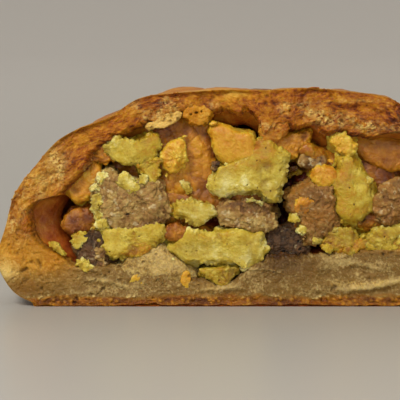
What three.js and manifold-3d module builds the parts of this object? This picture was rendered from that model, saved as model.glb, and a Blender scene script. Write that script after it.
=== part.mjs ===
// Half of a baked breakfast sandwich. A round stuffed bun is cut through the middle, and the cut shows
// scrambled egg, sausage and melted cheese in a hollow of soft dough.
// Millimetres, +Z up. The cut faces -Y, and the origin is at the centre of the base.
import * as THREE from "three";
import { mergeVertices } from "three/addons/utils/BufferGeometryUtils.js";
import Module from "manifold-3d";

const wasm = await Module();
wasm.setup();

// Driving dimensions
const bunWidth = 107;
const bunHeight = 44;
const bunRadius = bunWidth / 2;
const cutY = -bunRadius / 2; // the half reaches as far behind the origin as the cut lies in front of it
const hollowDepth = 43; // how far the hollow runs back from the cut
const fillingDepth = 39; // how far the filling runs back from the cut
const fillingRecess = 7; // loose filling starts this far behind the cut
const clearance = 0.35; // air between neighbouring pieces

// How rough the surfaces are: the height of the relief and the distance from one bump to the next
const crustRelief = { height: 0.7, spacing: 8 };
const crustSwell = { height: 2, spacing: 23, start: 14 }; // none at the cut, all of it past the start
const cutRelief = { height: 1.2, spacing: 3.2 };
const heapRelief = { height: 3.2, spacing: 4.6 };
const foods = {
  egg: { color: 0xc9ae4e, roughness: 0.6, height: 1.1, spacing: 2.8 },
  sausage: { color: 0x8a6746, roughness: 0.7, height: 1, spacing: 2.2 },
  cheese: { color: 0xc98a2c, roughness: 0.35, height: 0.7, spacing: 4 },
};

// Mesh fineness
const crustRing = 64;
const crustSteps = 22;
const cutFacet = 3;
const hollowFacet = 4.2;
const hollowSteps = 12;
const heapFacet = 4.2;
const pieceFacet = 2.2;
const pieceSteps = 8;

// The bun's silhouette, as distance from its upright axis and height, from under the base to the top
const bunSilhouette = [
  [0, -1],
  [41, -1],
  [47.5, 1],
  [51.5, 4],
  [53.5, 11],
  [51.5, 19],
  [47.5, 25.5],
  [43, 32],
  [38, 35.8],
  [30.5, 38.8],
  [23.5, 42.2],
  [12, 43.7],
  [0, 44],
];

// Outlines on the cut, as x and z, clockwise from their left ends
const hollowOutline = [
  [-47, 15.5],
  [-44.5, 20.5],
  [-39, 23.5],
  [-33.5, 31.5],
  [-27.5, 35],
  [-17, 38.3],
  [-10.5, 39],
  [-4, 39],
  [-1, 37],
  [0, 34],
  [2, 36],
  [7.5, 36.5],
  [12.5, 34],
  [15, 35],
  [20, 34],
  [27, 34.5],
  [34, 32],
  [39.5, 27],
  [44.5, 21.5],
  [46.5, 16],
  [43.5, 12],
  [27, 12],
  [9, 10.5],
  [-1, 9],
  [-4.5, 6],
  [-9, 3.8],
  [-13, 5.5],
  [-29, 8],
  [-44, 9.5],
];

const fillingOutline = [
  [-40, 14],
  [-37, 22],
  [-31.5, 28.5],
  [-25, 33],
  [-12, 35.8],
  [-5, 35],
  [0, 31.5],
  [7, 33.3],
  [20, 31.5],
  [31, 30],
  [39, 24],
  [43.5, 16],
  [41, 13.5],
  [27, 13.8],
  [9, 12.2],
  [-1, 10.8],
  [-9, 8],
  [-29, 9.8],
  [-38, 10.5],
];

// A rise in the dough floor, which is one with the bun
const doughRise = {
  outline: [
    [-31, 4.5],
    [-28, 9.5],
    [-24.5, 12],
    [-21, 12.5],
    [-18.5, 10.5],
    [-14, 5],
  ],
  recess: 0.6,
  depth: 18,
};

// The pieces that the cut shows, front ones first: a later piece gives way to an earlier one
const pieces = [
  {
    name: "sausage_left",
    food: "sausage",
    recess: 0.3,
    depth: 11,
    outline: [
      [-34.5, 20.5],
      [-33.5, 25],
      [-31, 27.5],
      [-27, 25.5],
      [-22.5, 25.5],
      [-19.5, 23],
      [-19, 19],
      [-21, 16],
      [-27, 15],
      [-32, 16.5],
    ],
  },
  {
    name: "cheese_cap",
    food: "cheese",
    recess: 0.5,
    depth: 8,
    outline: [
      [-10.5, 34],
      [-10, 36.5],
      [-5.5, 35.5],
      [-2, 35],
      [-1, 32],
      [-0.5, 29.5],
      [-5, 28.5],
      [-9, 29],
    ],
  },
  {
    name: "egg_big",
    food: "egg",
    recess: 0.2,
    depth: 12,
    outline: [
      [-10.5, 24],
      [-8.5, 28.5],
      [-4.5, 30.5],
      [1, 33.5],
      [4, 31.5],
      [5, 28.5],
      [4, 25],
      [2.5, 20.5],
      [-0.5, 22],
      [-8, 22],
    ],
  },
  {
    name: "egg_slab",
    food: "egg",
    recess: 0.2,
    depth: 14,
    outline: [
      [-20, 11.5],
      [-16.5, 14],
      [-10, 15],
      [-1.5, 15],
      [1, 11.5],
      [0.5, 9.5],
      [-3, 6.8],
      [-5.5, 8.3],
      [-15, 8.3],
      [-18, 9.3],
    ],
  },
  {
    name: "sausage_mid",
    food: "sausage",
    recess: 1,
    depth: 10,
    outline: [
      [-9, 18.5],
      [-7.5, 21],
      [-1.5, 21],
      [2.5, 19.5],
      [3, 15.7],
      [-3, 15.5],
      [-7.5, 16],
    ],
  },
  {
    name: "egg_strip",
    food: "egg",
    recess: 0.6,
    depth: 9,
    outline: [
      [-18.5, 19.5],
      [-17, 21],
      [-12, 20.5],
      [-9.5, 19],
      [-11.5, 17],
      [-15, 17],
      [-18, 17.7],
    ],
  },
  {
    name: "egg_top",
    food: "egg",
    recess: 0.6,
    depth: 8,
    outline: [
      [-32, 32],
      [-29.5, 34],
      [-26, 33.2],
      [-23.5, 34],
      [-21.5, 33],
      [-22, 30],
      [-25.5, 29],
      [-30, 29.5],
    ],
  },
  {
    name: "egg_hook",
    food: "egg",
    recess: 0.9,
    depth: 7,
    outline: [
      [-25, 28.7],
      [-23, 30.3],
      [-20.5, 30.3],
      [-20.3, 28],
      [-22, 26.2],
      [-24, 25],
    ],
  },
  {
    name: "cheese_yellow",
    food: "cheese",
    recess: 0.8,
    depth: 7,
    outline: [
      [-20.2, 29],
      [-20, 31.5],
      [-18, 33.3],
      [-15.7, 33.5],
      [-15.3, 30.5],
      [-17, 27.5],
      [-18.7, 26.5],
    ],
  },
  {
    name: "egg_left",
    food: "egg",
    recess: 0.3,
    depth: 9,
    outline: [
      [-34, 16],
      [-29, 15.8],
      [-21, 15.8],
      [-20.2, 14],
      [-24, 10],
      [-30.5, 9.8],
      [-33, 12.5],
    ],
  },
  {
    name: "sausage_low",
    food: "sausage",
    recess: 1.4,
    depth: 9,
    outline: [
      [-37.5, 12.5],
      [-35.5, 15],
      [-31.5, 15],
      [-30, 11],
      [-31.5, 7],
      [-34, 4.5],
      [-37, 8],
    ],
  },
  {
    name: "sausage_right",
    food: "sausage",
    recess: 0.6,
    depth: 10,
    outline: [
      [4.5, 21],
      [6.5, 24],
      [11, 25],
      [14, 22.5],
      [15, 17.5],
      [12, 13.5],
      [9, 12.5],
      [6.5, 16.5],
    ],
  },
  {
    name: "egg_right",
    food: "egg",
    recess: 1,
    depth: 10,
    outline: [
      [14, 24.5],
      [14.5, 29],
      [17, 31],
      [19.5, 28],
      [22.2, 24.5],
      [22.5, 20.5],
      [20, 17],
      [16, 16.8],
      [14.3, 20.5],
    ],
  },
  {
    name: "cheese_lump",
    food: "cheese",
    recess: 0.8,
    depth: 6,
    outline: [
      [9.5, 27],
      [11, 28.7],
      [14, 28.5],
      [15, 26.5],
      [13.5, 24.8],
      [11, 24.8],
    ],
  },
  {
    name: "egg_crumble",
    food: "egg",
    recess: 1.8,
    depth: 8,
    outline: [
      [4, 28.5],
      [5.5, 31.5],
      [8.5, 33],
      [11.5, 31],
      [11, 28],
      [7.5, 26],
      [5, 25],
    ],
  },
  {
    name: "egg_low",
    food: "egg",
    recess: 0.5,
    depth: 6,
    outline: [
      [-12.5, 6.8],
      [-10, 8],
      [-5, 8],
      [-6.5, 5.2],
      [-9, 3.8],
      [-11.5, 5],
    ],
  },
  {
    name: "egg_right_low",
    food: "egg",
    recess: 0.8,
    depth: 7,
    outline: [
      [11, 13.3],
      [13, 15.5],
      [17, 16],
      [19.5, 14],
      [18, 11.3],
      [14, 10.8],
    ],
  },
  {
    name: "egg_edge",
    food: "egg",
    recess: 0.6,
    depth: 7,
    outline: [
      [20.5, 13],
      [22.5, 15.3],
      [26.5, 16.8],
      [28, 15],
      [26, 12.5],
      [23, 12],
    ],
  },
  {
    name: "sausage_edge",
    food: "sausage",
    recess: 0.8,
    depth: 8,
    outline: [
      [22, 20.5],
      [23.5, 23.5],
      [27, 25.5],
      [29.5, 23],
      [29, 18.5],
      [26, 16],
      [23, 17],
    ],
  },
  {
    name: "egg_end",
    food: "egg",
    recess: 0.8,
    depth: 9,
    outline: [
      [29.5, 22],
      [31, 26.5],
      [35, 28],
      [38.5, 25],
      [39, 20.5],
      [35.5, 18],
      [31, 18.5],
    ],
  },
  {
    name: "sausage_end",
    food: "sausage",
    recess: 1.2,
    depth: 8,
    outline: [
      [33, 14],
      [35, 17.5],
      [39, 18],
      [42.5, 15.5],
      [41.5, 12.5],
      [36, 11.5],
    ],
  },
  {
    name: "egg_end_low",
    food: "egg",
    recess: 0.7,
    depth: 7,
    outline: [
      [27, 13.5],
      [29, 16.5],
      [32, 17],
      [33.5, 14],
      [31, 11.5],
      [28.5, 11.5],
    ],
  },
  {
    name: "cheese_roof",
    food: "cheese",
    recess: 2.2,
    depth: 7,
    outline: [
      [1.5, 31.5],
      [2.5, 33.5],
      [8.5, 35],
      [9.5, 33],
      [7, 30],
      [3.5, 30],
    ],
  },
  {
    name: "cheese_crumb",
    food: "cheese",
    recess: 1.6,
    depth: 6,
    outline: [
      [13, 33.3],
      [14.5, 35],
      [17.7, 34.5],
      [18, 32.5],
      [15.8, 31],
    ],
  },
  {
    name: "sausage_dark",
    food: "sausage",
    recess: 3,
    depth: 9,
    outline: [
      [-1, 12.5],
      [1, 15],
      [5.5, 15.5],
      [9, 14],
      [10, 11],
      [8, 7.5],
      [3, 6.5],
      [0, 8.5],
    ],
  },
  {
    name: "cheese_curtain",
    food: "cheese",
    facet: 3,
    recess: 3.6,
    depth: 9,
    outline: [
      [-23, 31.5],
      [-23.5, 36.5],
      [-17.5, 38.5],
      [-11.5, 38],
      [-9.5, 34.5],
      [-9.5, 27.5],
      [-11, 21],
      [-15, 19],
      [-18.5, 21],
      [-21, 26],
    ],
  },
  {
    name: "cheese_left",
    food: "cheese",
    recess: 2.6,
    depth: 9,
    outline: [
      [-39.5, 23],
      [-37.5, 26.5],
      [-34.5, 29.5],
      [-32.8, 27.5],
      [-34.5, 23],
      [-36, 20],
      [-38.3, 20],
    ],
  },
  {
    name: "cheese_low",
    food: "cheese",
    recess: 3.4,
    depth: 7,
    outline: [
      [-40.5, 16.5],
      [-38.5, 18.8],
      [-35, 19.3],
      [-34, 16.5],
      [-36, 14],
      [-39, 14],
    ],
  },
  {
    name: "cheese_wall",
    food: "cheese",
    recess: 4,
    depth: 9,
    outline: [
      [17, 32.3],
      [19.5, 34.3],
      [25, 33.8],
      [32, 32],
      [37.5, 27],
      [35.5, 24.5],
      [30, 26],
      [24.5, 27],
      [20, 29.3],
    ],
  },
];

// A repeatable number from 0 to 1 for each corner of a unit grid
function cornerValue(i, j, k, seed) {
  const wave =
    Math.sin(i * 127.1 + j * 311.7 + k * 74.7 + seed * 53.3) * 43758.5453;
  return wave - Math.floor(wave);
}

// Smooth bumps from -1 to 1 in space
function bumps(point, spacing, seed) {
  const [x, y, z] = [point.x, point.y, point.z].map((c) => c / spacing);
  const [i, j, k] = [x, y, z].map(Math.floor);
  const [u, v, w] = [x - i, y - j, z - k].map((t) => t * t * (3 - 2 * t));
  const alongX = (dj, dk) =>
    THREE.MathUtils.lerp(
      cornerValue(i, j + dj, k + dk, seed),
      cornerValue(i + 1, j + dj, k + dk, seed),
      u,
    );
  const alongY = (dk) =>
    THREE.MathUtils.lerp(alongX(0, dk), alongX(1, dk), v);
  return 2 * THREE.MathUtils.lerp(alongY(0), alongY(1), w) - 1;
}

// Moves every vertex of a geometry to where the function puts it
function reshape(geometry, move) {
  const position = geometry.attributes.position;
  const point = new THREE.Vector3();
  for (let i = 0; i < position.count; i++) {
    point.fromBufferAttribute(position, i);
    move(point, i);
    position.setXYZ(i, point.x, point.y, point.z);
  }
  return geometry;
}

function solidOf(geometry) {
  const bare = geometry.clone();
  bare.deleteAttribute("normal");
  bare.deleteAttribute("uv");
  const merged = mergeVertices(bare, 1e-3);
  return new wasm.Manifold(
    new wasm.Mesh({
      numProp: 3,
      vertProperties: merged.attributes.position.array,
      triVerts: new Uint32Array(merged.index.array),
    }),
  );
}

function biggestOf(solid) {
  return solid
    .decompose()
    .reduce((best, body) => (body.volume() > best.volume() ? body : best));
}

function meshOf(solid, name, { color, roughness }) {
  const { vertProperties, triVerts } = solid.getMesh();
  const geometry = new THREE.BufferGeometry()
    .setAttribute("position", new THREE.BufferAttribute(vertProperties, 3))
    .setIndex(new THREE.BufferAttribute(triVerts, 1));
  geometry.computeVertexNormals();
  const material = new THREE.MeshStandardMaterial({
    color,
    roughness,
    metalness: 0,
  });
  const mesh = new THREE.Mesh(geometry, material);
  mesh.name = name;
  return mesh;
}

// A closed body with the given outline on the cut, rounded off towards the front and the back. It is a
// sphere whose rings follow the outline. A low squareness leaves flat faces and tight edges, and 1 gives
// an ellipse. Growth moves the whole surface out, or in where it is negative.
function lump(shape, growth = 0) {
  const { outline, recess, depth, height = 0, spacing = 1 } = shape;
  const { squareness = 0.55, facet = pieceFacet, steps = pieceSteps } = shape;
  const corners = outline.map(([x, z]) => new THREE.Vector3(x, 0, z));
  const curve = new THREE.CatmullRomCurve3(corners, true, "catmullrom", 0.5);
  const ring = Math.max(9, Math.round(curve.getLength() / facet));
  const geometry = new THREE.SphereGeometry(1, ring, steps);
  const { uv } = geometry.attributes;
  const centre = new THREE.Box3().setFromPoints(corners).getCenter(new THREE.Vector3());
  const seed = centre.x + 3 * centre.z;
  return reshape(geometry, (point, i) => {
    const along = THREE.MathUtils.euclideanModulo(uv.getX(i), 1);
    const turn = Math.PI * (1 - uv.getY(i));
    const edge = curve.getPointAt(along);
    const tangent = curve.getTangentAt(along);
    const reach = Math.sin(turn) ** squareness;
    const across =
      Math.sign(Math.cos(turn)) * Math.abs(Math.cos(turn)) ** squareness;
    point.set(
      centre.x + (edge.x - centre.x) * reach,
      cutY + recess + (depth / 2) * (1 + across),
      centre.z + (edge.z - centre.z) * reach,
    );
    const relief = [0, 1, 2].map((n) => bumps(point, spacing, seed + n));
    point.x += relief[0] * height - tangent.z * growth * reach;
    point.y += (relief[1] * height) / 2 + across * growth;
    point.z += relief[2] * height + tangent.x * growth * reach;
  });
}

// A block that takes away all that lies in front of a cut, which it leaves uneven
function frontCutter(y, facet, { height, spacing }) {
  const reach = 70;
  const columns = Math.round(bunWidth / facet);
  const rows = Math.round((1.4 * bunHeight) / facet);
  const block = new THREE.BoxGeometry(
    bunWidth + 6,
    reach,
    1.4 * bunHeight,
    columns,
    1,
    rows,
  );
  return solidOf(
    reshape(block, (point) => {
      const back = point.y > 0;
      point.y += y - reach / 2;
      point.z += bunHeight / 2;
      if (back) point.y += (height * (1 + bumps(point, spacing, 7))) / 2;
    }),
  );
}

// The whole round bun, before it is cut
function wholeBun() {
  const silhouette = new THREE.SplineCurve(
    bunSilhouette.map((corner) => new THREE.Vector2(...corner)),
  );
  const dome = new THREE.LatheGeometry(
    silhouette.getPoints(crustSteps),
    crustRing,
  ).rotateX(Math.PI / 2);
  reshape(dome, (point) => {
    const behind = THREE.MathUtils.smoothstep(point.y, 0, crustSwell.start);
    const out =
      crustRelief.height * bumps(point, crustRelief.spacing, 1) +
      crustSwell.height * bumps(point, crustSwell.spacing, 2) * behind;
    const upwards = Math.max(0, point.z) / bunHeight;
    point.multiply(
      new THREE.Vector3(1 + out / bunRadius, 1 + out / bunRadius, 1),
    );
    point.z += out * upwards;
  });
  dome.computeBoundingBox();
  const { min, max } = dome.boundingBox;
  return reshape(dome, (point) => {
    point.x = THREE.MathUtils.mapLinear(point.x, min.x, max.x, -1, 1) * bunRadius;
    point.y =
      THREE.MathUtils.mapLinear(point.y, min.y, max.y, -1, 1) * bunRadius + cutY;
    point.z *= point.z > 0 ? bunHeight / max.z : 1;
  });
}

// All below the table top
function underTable() {
  const thickness = 10;
  return solidOf(
    new THREE.BoxGeometry(2 * bunWidth, 2 * bunWidth, thickness).translate(
      0,
      0,
      -thickness / 2,
    ),
  );
}

const hollow = {
  outline: hollowOutline,
  recess: -hollowDepth,
  depth: 2 * hollowDepth,
  squareness: 0.8,
  height: 0.9,
  spacing: 6,
  facet: hollowFacet,
  steps: hollowSteps,
};

function bun() {
  return solidOf(wholeBun())
    .subtract(underTable())
    .subtract(solidOf(lump(hollow)))
    .add(solidOf(lump(doughRise)))
    .subtract(frontCutter(cutY, cutFacet, cutRelief));
}

const heap = {
  outline: fillingOutline,
  recess: -fillingDepth,
  depth: 2 * fillingDepth,
  squareness: 0.8,
  height: 0.8,
  spacing: 5,
  facet: heapFacet,
  steps: hollowSteps,
};

// The space that the filling may take: the hollow, less the rise in its floor
const room = solidOf(lump(hollow, -clearance)).subtract(
  solidOf(lump(doughRise, clearance)),
);

// The loose scramble behind the pieces. Its front is steep in places, so it moves further than it grows.
function loose(growth = 0) {
  return solidOf(lump(heap, growth)).subtract(
    frontCutter(cutY + fillingRecess - 1.5 * growth, heapFacet, heapRelief),
  );
}

// The pieces in turn, each lying against the loose scramble and cut back from the pieces before it
function placedPieces() {
  const taken = [loose(clearance)];
  return pieces.map((piece) => {
    const shape = { ...foods[piece.food], ...piece };
    const solid = taken.reduce(
      (left, other) => left.subtract(other),
      solidOf(lump(shape)).intersect(room),
    );
    taken.push(solidOf(lump(shape, clearance)));
    return meshOf(biggestOf(solid), piece.name, foods[piece.food]);
  });
}

const sandwich = new THREE.Group();
sandwich.add(
  meshOf(biggestOf(bun()), "bun", { color: 0xb9793a, roughness: 0.55 }),
  meshOf(biggestOf(loose().intersect(room)), "filling", {
    color: 0x9c7430,
    roughness: 0.6,
  }),
  ...placedPieces(),
);

export default sandwich;
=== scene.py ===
import math

import bpy
import numpy as np
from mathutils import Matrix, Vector


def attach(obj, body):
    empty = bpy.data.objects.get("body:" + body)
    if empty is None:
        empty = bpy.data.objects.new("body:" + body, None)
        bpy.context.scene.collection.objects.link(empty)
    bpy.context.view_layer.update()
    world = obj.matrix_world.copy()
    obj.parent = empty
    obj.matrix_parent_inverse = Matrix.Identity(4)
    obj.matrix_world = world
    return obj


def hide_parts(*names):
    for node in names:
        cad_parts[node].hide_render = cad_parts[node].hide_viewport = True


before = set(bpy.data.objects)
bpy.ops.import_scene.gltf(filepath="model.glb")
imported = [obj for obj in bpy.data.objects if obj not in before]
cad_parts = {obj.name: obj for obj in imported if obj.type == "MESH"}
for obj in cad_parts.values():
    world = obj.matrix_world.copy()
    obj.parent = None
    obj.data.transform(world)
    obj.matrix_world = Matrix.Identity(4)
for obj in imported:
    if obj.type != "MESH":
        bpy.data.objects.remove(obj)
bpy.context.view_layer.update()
print("frame loaded:", len(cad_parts), "nodes")

mm = 0.001
bunWidth = 107.0
bunHeight = 44.0
bunRadius = bunWidth / 2
cutY = -bunRadius / 2  # the cut lies in front of the origin


# Noise in space

def cornerValue(i, j, k, seed):
    # fraction of 43758.5453 sin(127.1 i + 311.7 j + 74.7 k + 53.3 seed): a fixed number for each corner
    wave = np.sin(i * 127.1 + j * 311.7 + k * 74.7 + seed * 53.3) * 43758.5453
    return wave - np.floor(wave)


def bumps(points, spacing, seed):
    # smooth bumps from -1 to 1: corner values blended by 3t^2 - 2t^3 along each axis
    scaled = points / spacing
    low = np.floor(scaled)
    part = scaled - low
    ease = part * part * (3 - 2 * part)
    total = np.zeros(points.shape[:-1])
    for corner in np.ndindex(2, 2, 2):
        weight = np.prod(np.where(np.array(corner) > 0, ease, 1 - ease), axis=-1)
        total += weight * cornerValue(*np.moveaxis(low + corner, -1, 0), seed)
    return 2 * total - 1


def layered(points, spacing, seed, count=4, fade=0.5):
    # bumps at spacing, spacing/2.1, spacing/2.1^2 ..., each fade times as high as the one before
    total = np.zeros(points.shape[:-1])
    for n in range(count):
        total += fade ** n * bumps(points, spacing / 2.1 ** n, seed + 17 * n)
    return total


def creases(points, spacing, seed, count=3, fade=0.55):
    # sum of 1 - 2|bumps|: sharp crests where the bumps pass through zero
    total = np.zeros(points.shape[:-1])
    for n in range(count):
        total += fade ** n * (1 - 2 * np.abs(bumps(points, spacing / 2 ** n, seed + 11 * n)))
    return total


def cells(points, spacing, seed, stray=0.9):
    # points strewn one to a cell of a grid: the distance to the nearest, the distance by which the second
    # nearest is further, and the nearest one's own number from 0 to 1
    scaled = points / spacing
    low = np.floor(scaled)
    nearest = np.full(points.shape[:-1], 9.0)  # further than any of them lies
    second = nearest.copy()
    own = np.zeros(points.shape[:-1])
    for step in np.ndindex(3, 3, 3):
        cell = low + np.array(step) - 1
        index = np.moveaxis(cell, -1, 0)
        offset = np.stack([cornerValue(*index, seed + n) for n in (1, 2, 3)], axis=-1)
        away = np.linalg.norm(scaled - cell - 0.5 - stray * (offset - 0.5), axis=-1)
        closer = away < nearest
        second = np.where(closer, nearest, np.minimum(second, away))
        own = np.where(closer, cornerValue(*index, seed + 4), own)
        nearest = np.minimum(nearest, away)
    return nearest, second - nearest, own


def nubs(grid, spacing, seed, share):
    # small round nubs on a share of the cells: 1 - (distance / 0.58 cells)^2
    near, _, own = cells(grid, spacing, seed)
    return np.clip(1 - (near / 0.58) ** 2, 0, 1) * (own < share)


def sway(points, spacing, seed):
    # how far each point is moved along x, y and z: three sets of bumps
    return np.stack([bumps(points, spacing, seed + n) for n in range(3)], axis=-1)


def smoothStep(value, low, high):
    # from 0 at low to 1 at high by 3t^2 - 2t^3, and level beyond them
    part = np.clip((value - low) / (high - low), 0, 1)
    return part * part * (3 - 2 * part)


def spotsAt(x, z, spots):
    # sum of change * exp(-(dx/width)^2 - (dz/height)^2) over spots of (x, z, width, height, change)
    total = np.zeros_like(x)
    for centreX, centreZ, width, height, change in spots:
        total += change * np.exp(-((x - centreX) / width) ** 2 - ((z - centreZ) / height) ** 2)
    return total


# Curves, grids and meshes

inCut = np.array([1, 0, 1])  # only along x and z
fineness = 60  # steps to a span, to measure a curve's length


def standing(outline, y):
    # points (x, z) of an outline, set up at y
    return np.stack([outline[..., 0], y + 0 * outline[..., 0], outline[..., 1]], axis=-1)


def splinePoints(corners, count, closed=False):
    # a Catmull-Rom curve through the corners, at even lengths
    corners = np.array(corners, float)
    if closed:
        padded = np.vstack([corners[-1:], corners, corners[:2]])
    else:
        padded = np.vstack([corners[:1], corners, corners[-1:]])
    spans = len(padded) - 3
    along = np.linspace(0, spans, fineness * spans + 1)
    index = np.minimum(along.astype(int), spans - 1)
    t = (along - index)[:, None]
    a, b, c, d = (padded[index + n] for n in range(4))
    curve = 0.5 * (2 * b + (c - a) * t + (2 * a - 5 * b + 4 * c - d) * t ** 2
                   + (3 * b - a - 3 * c + d) * t ** 3)
    length = np.concatenate([[0], np.cumsum(np.linalg.norm(np.diff(curve, axis=0), axis=1))])
    even = np.linspace(0, length[-1], count + 1 if closed else count)[:count]
    return np.stack([np.interp(even, length, curve[:, n]) for n in range(2)], axis=-1)


def outwardNormals(grid):
    # cross product of the steps along and across a grid that closes on itself along its second axis,
    # turned away from the grid's middle
    across = np.roll(grid, -1, axis=1) - np.roll(grid, 1, axis=1)
    normal = np.cross(across, np.gradient(grid, axis=0))
    normal /= np.maximum(np.linalg.norm(normal, axis=-1, keepdims=True), 1e-9)
    middle = grid.reshape(-1, 3).mean(axis=0)
    return normal if (normal * (grid - middle)).sum() > 0 else -normal


def addMesh(name, points, quads, triangles, attributes, finishes, faceFinish=None):
    # one mesh from arrays in millimetres; where the enclosed volume is negative all faces are turned round
    halves = np.concatenate([quads[:, [0, 1, 2]], quads[:, [0, 2, 3]], triangles])
    a, b, c = (points[halves[:, n]] for n in range(3))
    if np.einsum("ij,ij->i", a, np.cross(b, c)).sum() < 0:
        quads, triangles = quads[:, ::-1], triangles[:, ::-1]
    corners = np.concatenate([quads.ravel(), triangles.ravel()]).astype(np.int32)
    sizes = np.concatenate([np.full(len(quads), 4), np.full(len(triangles), 3)]).astype(np.int32)
    starts = np.concatenate([[0], np.cumsum(sizes)[:-1]]).astype(np.int32)
    mesh = bpy.data.meshes.new(name)
    mesh.vertices.add(len(points))
    mesh.vertices.foreach_set("co", (points * mm).astype(np.float32).ravel())
    mesh.loops.add(len(corners))
    mesh.loops.foreach_set("vertex_index", corners)
    mesh.polygons.add(len(sizes))
    mesh.polygons.foreach_set("loop_start", starts)
    mesh.polygons.foreach_set("use_smooth", np.ones(len(sizes), bool))
    for key, values in attributes.items():
        layer = mesh.attributes.new(key, "FLOAT", "POINT")
        layer.data.foreach_set("value", values.astype(np.float32).ravel())
    for finish in finishes:
        mesh.materials.append(finish)
    if faceFinish is not None:
        mesh.polygons.foreach_set("material_index", faceFinish.astype(np.int32))
    mesh.update(calc_edges=True)
    mesh.validate()
    piece = bpy.data.objects.new(name, mesh)
    bpy.context.scene.collection.objects.link(piece)
    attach(piece, "root")
    return piece


def ballFaces(rings, around, first=0):
    # quads between rings of points, and a fan to the pole at each end; the two poles follow the rings
    ring, step = np.meshgrid(np.arange(rings - 1), np.arange(around), indexing="ij")
    here = first + ring * around + step
    beside = first + ring * around + (step + 1) % around
    quads = np.stack([here, beside, beside + around, here + around], axis=-1).reshape(-1, 4)
    spoke = np.arange(around)
    front = first + rings * around
    last = front - around
    start = np.stack([first + (spoke + 1) % around, first + spoke, np.full(around, front)], axis=-1)
    end = np.stack([last + spoke, last + (spoke + 1) % around, np.full(around, front + 1)], axis=-1)
    return quads, np.concatenate([start, end])


def withPoles(values):
    # a grid's values in one row, followed by the middle of its first and of its last ring
    tail = values.shape[2:]
    ends = np.stack([values[0].mean(axis=0), values[-1].mean(axis=0)])
    return np.concatenate([values.reshape(-1, *tail), ends.reshape(2, *tail)])


def lumpGrid(shape, rings, around):
    # a closed body on an outline: x and z lie between the outline's centre and its edge by sin^e(turn), and y
    # runs from front to back by cos^e(turn), with e the squareness; then bumps push each point about
    corners = np.array(shape["outline"], float)
    centre = (corners.min(0) + corners.max(0)) / 2
    edge = splinePoints(corners, around, closed=True)
    depth = shape["depth"]
    squareness = shape.get("squareness", 0.42)
    radius = np.linalg.norm(edge - centre, axis=1).mean()
    turn = np.linspace(0, math.pi, 4001)  # fine enough to measure the length from front to back
    reach = np.sin(turn).clip(0) ** squareness
    across = -np.sign(np.cos(turn)) * np.abs(np.cos(turn)) ** squareness
    step = np.hypot(np.diff(reach) * radius, np.diff(across) * depth / 2)
    step *= 1 - 0.75 * smoothStep(across[1:], -0.5, 0.3)  # rings lie close in front and further apart behind
    length = np.concatenate([[0], np.cumsum(step)])
    even = np.linspace(0, length[-1], rings + 2)[1:-1]
    reach = np.interp(even, length, reach)[:, None]
    across = np.interp(even, length, across)[:, None]
    x = centre[0] + (edge[:, 0] - centre[0]) * reach
    z = centre[1] + (edge[:, 1] - centre[1]) * reach
    y = cutY + shape["recess"] + depth / 2 * (1 + across) + 0 * x
    grid = np.stack([x, y, z], axis=-1)
    seed = centre[0] + 3 * centre[1]
    height = shape["height"]
    return grid + sway(grid, shape["spacing"], seed) * np.array([height, height / 3, height]), seed


# Materials

def linearColor(code):
    # sRGB hex to linear: c/12.92 up to 0.04045, else ((c + 0.055)/1.055)^2.4
    parts = [int(code[n:n + 2], 16) / 255 for n in (1, 3, 5)]
    return [c / 12.92 if c <= 0.04045 else ((c + 0.055) / 1.055) ** 2.4 for c in parts] + [1.0]


def addNode(tree, kind, inputs=None, out=0, stops=None, **settings):
    # adds a node, fills or links its inputs, sets a ramp's stops and gives back the output asked for
    node = tree.nodes.new("ShaderNode" + kind)
    for key, value in settings.items():
        setattr(node, key, value)
    for key, value in (inputs or {}).items():
        if isinstance(value, bpy.types.NodeSocket):
            tree.links.new(value, node.inputs[key])
        else:
            node.inputs[key].default_value = value
    if stops:
        ramp = node.color_ramp.elements
        for n, (place, code) in enumerate(stops):
            mark = ramp[n] if n < 2 else ramp.new(place)
            mark.position = place
            mark.color = linearColor(code)
    return node.outputs[out] if len(node.outputs) else node


# a Mix of colours takes its share at input 0, and its colours at inputs 6 and 7
colorMix = {"out": 2, "data_type": "RGBA"}


def addPatterns(tree, place, patterns):
    # a noise for each pattern, by its size in millimetres, its detail and its roughness
    return {key: addNode(tree, "TexNoise", {"Vector": place, "Scale": 1000 / size, "Detail": detail,
                                            "Roughness": roughness})
            for key, (size, detail, roughness) in patterns.items()}


def newMaterial(name, look):
    # an empty material with the attributes and the noise patterns that its look lists
    material = bpy.data.materials.new(name)
    material.use_nodes = True
    tree = material.node_tree
    tree.nodes.clear()
    place = addNode(tree, "TexCoord", out="Object")
    at = {key: addNode(tree, "Attribute", attribute_name=key, out="Fac") for key in look.get("reads", ())}
    at.update(addPatterns(tree, place, look.get("patterns", {})))
    return material, tree, place, at


def driftOf(tree, at, start, shares):
    # the start plus each pattern times its share
    for key, share in shares.items():
        start = addNode(tree, "Math", {0: at[key], 1: share, 2: start}, operation="MULTIPLY_ADD")
    return start


def rampColor(tree, tone, how, drift, stops):
    # the ramp's colour where the tone plus the drift, or times the drift, lies
    mixed = addNode(tree, "Math", {0: tone, 1: drift}, operation=how, use_clamp=True)
    return addNode(tree, "ValToRGB", {"Fac": mixed}, stops=stops)


def finishMaterial(material, color, height, look, shadeAndStain=None):
    # where the mesh's darkening value is high, painted shade in pits and hollows, the colour darkens to the
    # look's shade; the bump stands up to its relief, in millimetres, above the mesh
    tree = material.node_tree
    if shadeAndStain is not None:
        color = addNode(tree, "Mix", {0: shadeAndStain, 6: color, 7: linearColor(look["shade"])}, blend_type="MULTIPLY",
                        **colorMix)
    normal = addNode(tree, "Bump", {"Height": height, "Distance": look["relief"] * mm, "Strength": 1.0})
    surface = addNode(tree, "BsdfPrincipled", {"Base Color": color, "Normal": normal, **look["surface"]})
    addNode(tree, "OutputMaterial", {"Surface": surface})
    return material
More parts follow.
